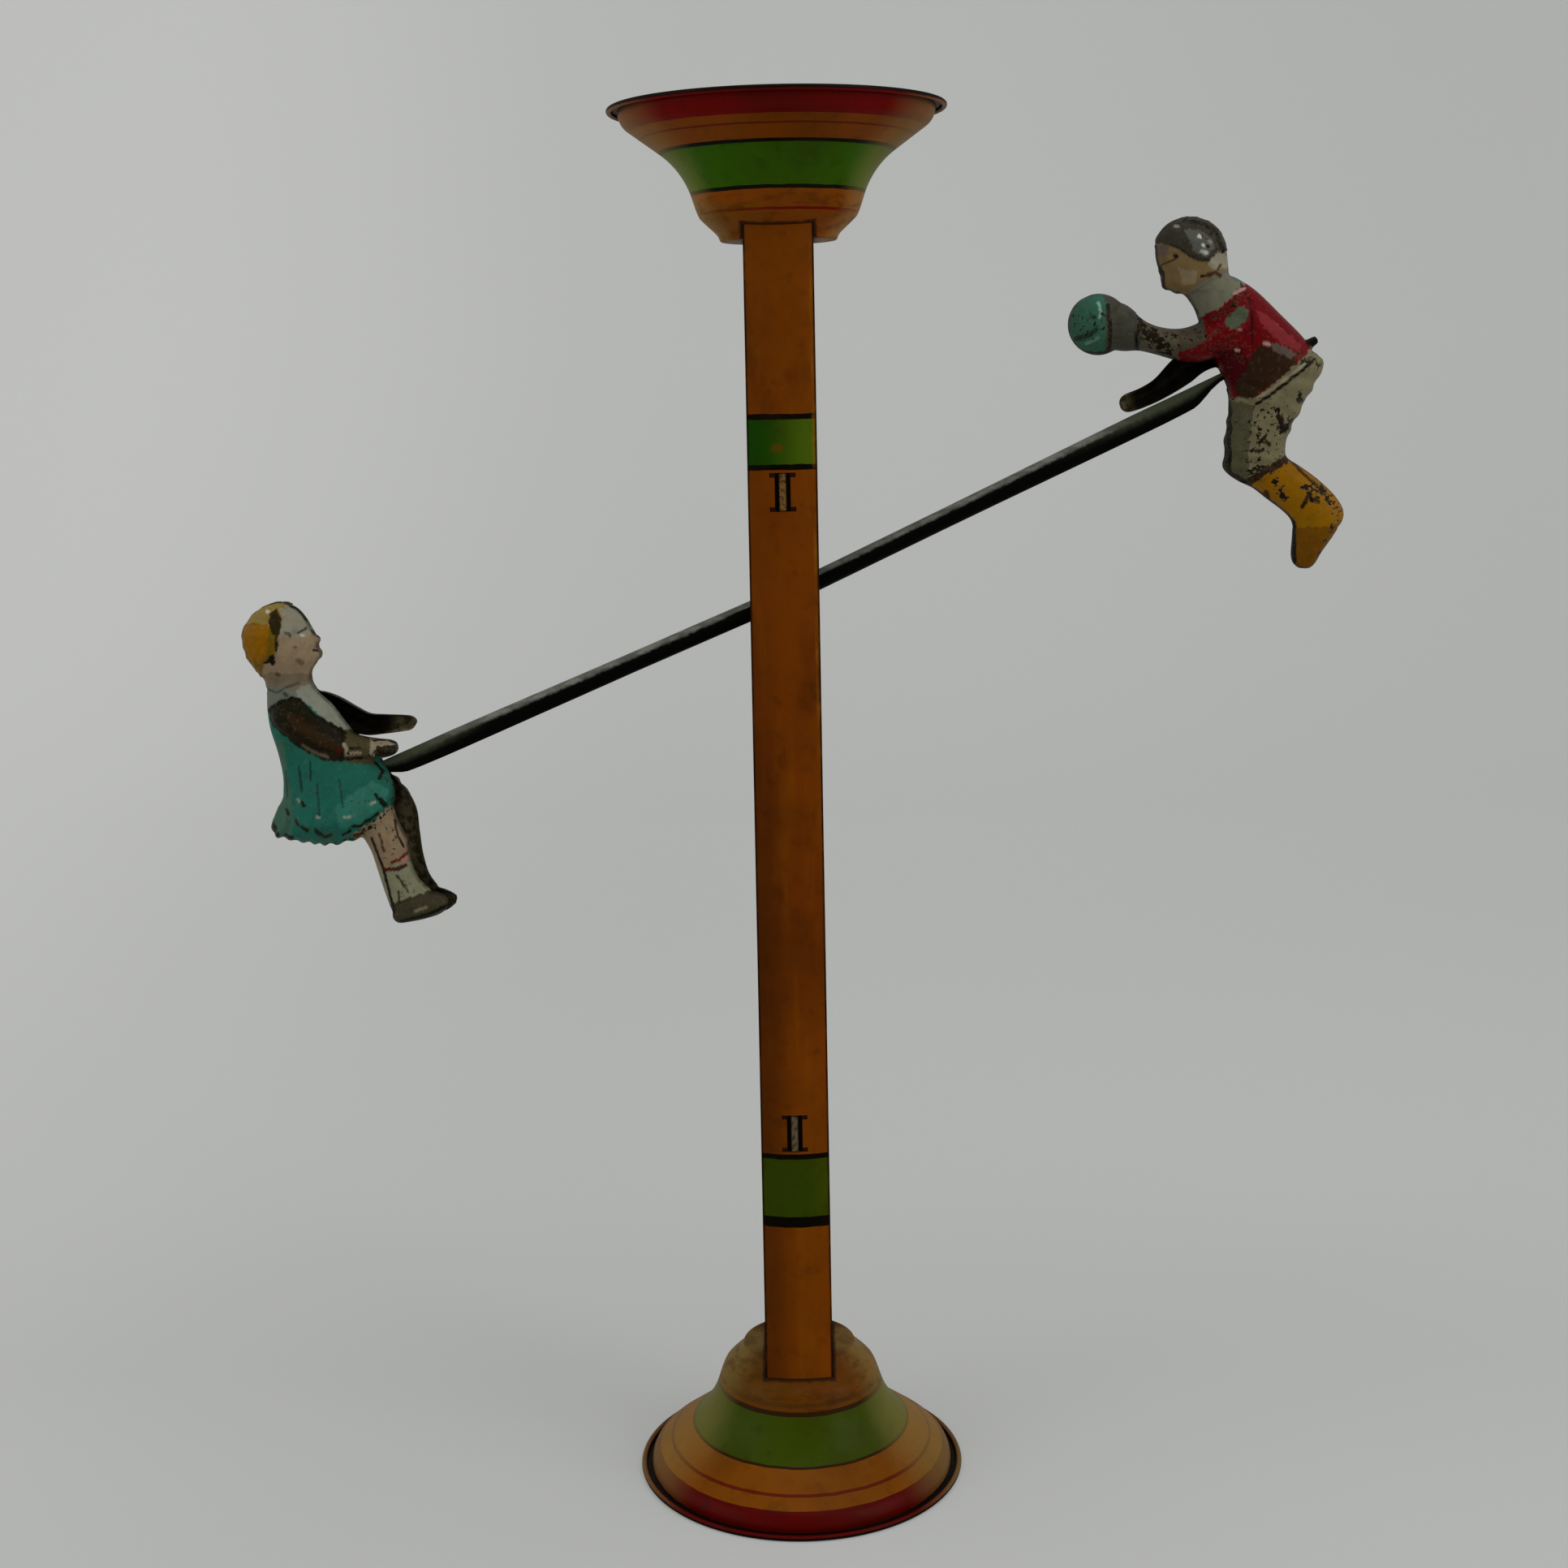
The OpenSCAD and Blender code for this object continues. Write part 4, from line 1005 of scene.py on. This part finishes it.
# Painted light among these zones: the pink band across the back of the shirt (112 30 33) is a painted
# highlight, and the dark strips down the front of the trousers (70 68 48 and 36 36 22) are painted shade
BOY_ZONES = table(f"""
104 86 54|0.4|400,100 760,100 780,330 600,470 440,420 400,250
92 78 66|0.4|440,166 502,172 500,212 444,214
120 104 80|0.4|540,270 620,280 620,330 560,340
124 118 100|0.4|676,210 728,196 760,262 700,280 660,250
98 97 80|0.4|560,400 600,352 660,312 748,268 880,350 800,352 730,420 640,480 600,450
78 86 84|0.4|735,280 780,290 812,330 770,322
88 3 9|0.9|600,480 700,440 760,390 800,340 880,300 1140,570 1060,640 960,716 870,790 790,830 730,800
 690,690 640,700 520,690 530,600 600,560
58 3 8|0.6|700,610 800,600 830,650 800,740 740,760 720,680
112 30 33|0.8|858,440 884,447 974,520 1050,587 1036,610 968,580 890,514
66 74 56|0.3|727,487 760,452 801,420 827,440 821,480 761,527
40 24 12|0.3|840,620 880,584 947,600 1027,640 1001,694 921,747 854,794 801,812 770,770 774,740
 821,680
78 66 58|0.3|900,570 960,580 1030,622 1000,640 940,610
102 96 70|0.3|1050,640 1085,590 1180,590 1180,720 1040,960 1010,1040 850,1170 690,1130 690,800
 760,800 866,800 960,722
70 68 48|0.3|690,800 850,830 830,1000 830,1160 690,1130
36 36 22|0.3|690,820 752,850 748,1000 746,1130 690,1130
40 24 8|0.3|800,1150 880,1096 990,1030 1016,1062 870,1166 800,1170
124 83 0|0.6|800,1180 1012,1054 1290,1240 1260,1340 1160,1560 960,1560 980,1290
96 60 0|0.6|960,1340 1200,1330 1160,1560 960,1560
62 54 42|0.3|530,500 640,480 660,560 600,600 530,610
72 67 52|0.3|340,470 400,480 540,516 540,660 430,660 340,620
58 57 48|0.3|205,340 230,360 380,420 400,500 372,640 205,660
42 82 66|0.6|40,330 220,340 246,430 240,600 160,660 40,620
46 44 34|0.5|{BOY_HAIR}
74 75 68|0.5|567,110 640,120 672,150 690,190 650,224 600,200
""")
# The dark line down the front of the trousers (14 12 8, from 740,820 to 700,1120) is painted shade
BOY_LINES = table("""
6 5 3|2.3|524,217 534,221
44 34 18|1.1|534,226 505,242 472,257
10 7 4|2|449,232 452,242
10 7 4|2|462,264 468,268
16 11 6|1.3|450,162 447,236 465,267 479,286 479,353
16 12 8|1.5|486,355 543,391 596,419 620,458
54 46 28|1.2|536,366 560,374 566,384
20 10 6|2|636,300 644,301
60 34 24|2.2|656,297 690,284 714,300
60 34 24|1.6|700,276 714,256
30 28 22|1.4|510,174 548,188 577,212 624,236 664,236
186 186 174|1.9|624,137 629,141
176 178 166|1.7|638,175 644,178
150 154 138|2.4|636,200 652,206
120 122 112|1.6|528,98 540,100
112 114 106|2|664,158 672,164
12 11 9|1.8|654,180 662,182
12 9 6|1.9|861,827 921,787 1027,707 1101,640
128 120 98|1.3|864,800 930,762 1020,694 1060,660
24 12 6|1.2|800,330 832,400 846,500 842,580
150 120 110|1.8|892,578 912,582
150 124 112|1.8|776,604 788,606
130 90 84|1.5|788,520 800,522
150 110 106|2.2|770,372 812,350
12 10 6|2.8|960,884 966,926
14 12 8|2.2|1034,808 1040,820
16 12 8|2.4|900,984 916,992
16 12 8|2|858,1022 890,1016
14 12 8|1.6|740,820 700,1000 700,1120
20 16 10|2.2|376,456 392,500 366,540 372,604
26 24 18|2.4|250,420 262,520 256,600
104 142 128|1.8|212,410 222,450 216,470
18 44 34|2.6|184,468 196,470
18 44 34|3|120,560 180,540 200,520
84 112 94|2|160,580 210,556
10 14 10|2.4|140,612 200,622 262,612
60 34 2|1.8|1012,1070 1060,1120 1130,1180
10 9 7|8|1092,566 1160,510
14 10 4|2.6|752,860 750,1000 750,1110 812,1152 924,1232 1012,1311 1016,1474
12 10 6|2.6|567,76 640,88 690,120 722,200
12 9 5|1.8|880,300 1000,410 1090,500
50 26 4|3.2|900,1190 912,1240 930,1262
40 20 4|2.6|1076,1200 1050,1250
26 18 6|2.2|1010,1500 1060,1540 1120,1530
26 18 6|1.8|1240,1270 1225,1330 1170,1430
""")
# Painted shade: the boy's far arm near black all over
BOY_FAR_ZONES = table("""
22 20 14|0.3|330,740 420,680 560,590 700,540 720,720 520,850 360,900
""")
BOY_WEARS = table("""
0.9|9|950,860 966,940 1000,900
0.8|6|1036,780 1060,830
0.4|60|900,900 840,1100
0.7|14|830,1100 880,1100
0.6|12|940,1150 970,1210
0.7|12|1060,1170 1100,1220
0.65|12|1110,1160 1180,1260
0.8|22|400,520 480,600
0.4|50|480,540 640,560
0.4|30|560,60 720,160
0.45|14|740,780 740,1100
0.5|14|1040,640 1110,660
0.4|36|80,480 210,520
0.5|10|1200,1290 1110,1480
0.4|20|700,470 790,400
0.35|30|640,560 780,600
""")

# Depth of the pressing, reach, line
GIRL_PRESSED = table("""
-0.35|3|270,118 250,160 262,196 246,236 250,340
-0.35|3|212,474 300,466 400,430
-0.4|3|560,650 566,790
-0.35|2.5|700,690 706,790
-0.3|2|730,742 800,740
-0.35|5|340,222 390,214
-0.3|3|742,1282 850,1240
-0.3|2.5|800,1440 950,1384
-0.25|2|410,280 440,284
0.3|12|330,300 340,340
""")
BOY_PRESSED = table("""
-0.4|5|510,212 545,212
0.3|4|456,176 500,170
-0.45|3|836,812 960,742 1104,604
-0.35|4|800,330 842,420 836,520
-0.35|6|690,640 760,560 840,530
-0.2|4|660,640 600,668
-0.4|3|880,1150 1004,1060
-0.3|3|540,516 530,650
-0.5|3|376,456 366,540 372,604
-0.35|2.5|300,420 260,470
-0.35|2.5|300,500 250,510
-0.35|2.5|310,560 262,560
0.45|5|650,230 690,260 670,300
-0.25|3|1016,1330 1110,1340 1220,1330
-0.3|4|560,400 640,350 740,290
""")


GIRL_FRINGE = "150,40 345,60 300,110 262,130"
DRESS = "200,800 800,800 830,1000 500,1250 200,1180"
TROUSERS = "690,790 1160,600 1160,760 1000,1060 820,1150 690,1130"


def within(px, conv, outline):
    return inside_poly(px, conv(points(outline)))


def girl_sculpt(px):
    """Curls, and folds in the dress that are deepest at its hem."""
    hair = within(px, girl_crop, GIRL_HAIR) | within(px, girl_crop, GIRL_FRINGE)
    curl = 0.3 + 0.16*ripple(px, 0.22, 1.0) + 0.06*np.sin(px[:, 0]*0.9 + 6*ripple(px, 0.09, 1.0))
    fold = 0.26*np.sin((px[:, 0] + px[:, 1]*0.35)*0.42 + 4*ripple(px, 0.02, 5.0))
    fold = (fold + 0.3*ripple(px, 0.12, 9.0))*near(px, girl_crop(points(HEM)), 70)
    return hair*curl + within(px, girl_crop, DRESS)*fold + pressed(px, girl_crop, GIRL_PRESSED)


def boy_sculpt(px):
    """Curls, and folds across the trousers."""
    curl = 0.3 + 0.16*ripple(px, 0.22, 1.0)
    fold = 0.28*np.sin((px[:, 1]*0.8 - px[:, 0]*0.25)*0.25 + 4*ripple(px, 0.03, 2.0))
    hair, trousers = within(px, boy_crop, BOY_HAIR), within(px, boy_crop, TROUSERS)
    return hair*curl + trousers*fold + pressed(px, boy_crop, BOY_PRESSED)


girl_out, boy_out = figure_material("girl_painted", 0.69), figure_material("boy_painted", 0.66)
dark_in = inside_material("rider_inside")
GIRL = dict(blobs=[((-118.5, 0, 43.6), (1.5, 1.9, 1.3)), ((-120.2, 0, 40.2), (2.0, 3.0, 1.9)),
                   ((-119.3, 0, 41.9), (1.1, 2.2, 0.9))],
            paint=painter((26, 86, 72), girl_crop, GIRL_ZONES, GIRL_FAR_ZONES, GIRL_LINES, GIRL_WEARS),
            sculpt=girl_sculpt, slot="girl_paint", outside=girl_out, inside=dark_in,
            notch=(-124.5, -108.0, 0.8, 7.7), tin=0.5, seam_shade=0.65)
BOY = dict(blobs=[((125.6, 0, 37.6), (1.0, 2.0, 1.6)), ((125.4, 0, 33.6), (1.6, 3.2, 1.6))],
           paint=painter((88, 3, 9), boy_crop, BOY_ZONES, BOY_FAR_ZONES, BOY_LINES, BOY_WEARS),
           sculpt=boy_sculpt, slot="boy_paint", outside=boy_out, inside=dark_in,
           notch=(107.0, 135.0, 0.6, 7.7), tin=0.45, seam_shade=0.95)
rider("girl_near", "girl_near_half", False,
      [GIRL_HEAD, GIRL_BODY, GIRL_NEAR_ARM, GIRL_NEAR_LEG, GIRL_NEAR_FOOT], **GIRL)
rider("girl_far", "girl_far_half", True,
      [GIRL_HEAD, GIRL_BODY, GIRL_FAR_ARM, GIRL_FAR_LEG, GIRL_FAR_FOOT], **GIRL)
rider("boy_near", "boy_near_half", False, [BOY_HEAD, BOY_BODY, BOY_NEAR_ARM, BALL, BOY_SEAT_TAB], **BOY)
rider("boy_far", "boy_far_half", True, [BOY_HEAD, BOY_BODY, BOY_FAR_ARM, BOY_SEAT_TAB], **BOY)


# Floor, backdrop and light
def paper_sweep():
    """A floor that bends up into a backdrop, in metres."""
    bm = bmesh.new()
    floor_end, bend_r, height = 0.9, 0.9, 3.2
    turn = [math.radians(a) for a in range(6, 91, 6)]
    bend = [(floor_end + bend_r*math.sin(a), bend_r - bend_r*math.cos(a)) for a in turn]
    rows = [[bm.verts.new((x, y, z)) for x in (-3.2, -1.0, 1.0, 3.2)]
            for y, z in [(-3.0, 0.0), (floor_end, 0.0)] + bend + [(floor_end + bend_r, height)]]
    for a, b in zip(rows, rows[1:]):
        for i in range(3):
            bm.faces.new((a[i], a[i + 1], b[i + 1], b[i]))
    me = mesh_from(bm, "paper_sweep")
    shade(me)
    return put_in_scene("paper_sweep", me)


def paper_material():
    """Half lit, and half a glowing tone where the camera or a reflection sees it; the tone is painted
    light, rising up the backdrop, lighter to the left and darker to the right, with a painted shadow on
    the floor just behind the base.
    """
    n = material("pale_paper")
    x, y, z = n.xyz()
    along = n.add(n.mul(z, 0.8), n.mul(y, 0.35))
    start, span = -60, 1260
    # Painted light and shadow: the tones rise up the backdrop and dip to a painted shadow on the floor
    # just behind the base
    tones = points("-60,150 -19,150 20,142 70,152 175,156 220,159 300,166 466,170 820,175 1200,176")
    stops = [((a - start)/span, lin(b, b + 2, b)) for a, b in tones]
    tone = n.ramp(n.div(n.sub(along, start), span), stops)
    tone = n.mix(n.mul(n.step(x, -60.0, -700.0), 0.62), tone, lin(214, 215, 212))
    tone = n.mix(n.mul(n.step(x, 0.0, 700.0), 0.14), tone, lin(96, 98, 98))
    ray = n.new("LightPath").outputs
    seen = n.mul(n.max(ray["Is Camera Ray"], ray["Is Glossy Ray"]), 0.5)
    return n.finish_with(seen, n.fill(n.new("BsdfDiffuse"), Color=lin(205, 206, 204)),
                         n.fill(n.new("Emission"), Color=tone))


def studio():
    """Light that is stronger from the sides, behind a plain backdrop for the camera."""
    world = bpy.context.scene.world = bpy.data.worlds.new("studio")
    n = Nodes(world, "OutputWorld")
    side = n.abs(n.xyz(n.co.outputs["Generated"])[0])
    level = n.fill(n.new("MapRange"), Value=side, From_Min=0.15, From_Max=0.9, To_Min=0.5, To_Max=0.9)
    n.finish_with(n.new("LightPath").outputs["Is Camera Ray"],
                  n.fill(n.new("Background"), Color=(1, 1, 1, 1), Strength=level.outputs[0]),
                  n.fill(n.new("Background"), Color=lin(186, 188, 186), Strength=1.0))


def lamp(name, where, aim, size, power):
    d = bpy.data.lights.new(name, "AREA")
    d.shape, d.size, d.size_y, d.energy = "RECTANGLE", size[0], size[1], power
    o = put_in_scene(name, d)
    o.location = where
    o.rotation_euler = (Vector(aim) - Vector(where)).to_track_quat("-Z", "Y").to_euler()


sweep = paper_sweep()
sweep.data.materials.append(paper_material())
studio()
lamp("overhead", (0.15, -0.1, 1.35), (0, 0, 0.2), (1.2, 0.9), 4.5)
lamp("right_window", (1.35, -0.75, 0.95), (0, 0, 0.2), (1.1, 1.1), 8.0)
lamp("left_window", (-1.35, -0.55, 0.8), (0, 0, 0.2), (1.0, 1.0), 3.5)
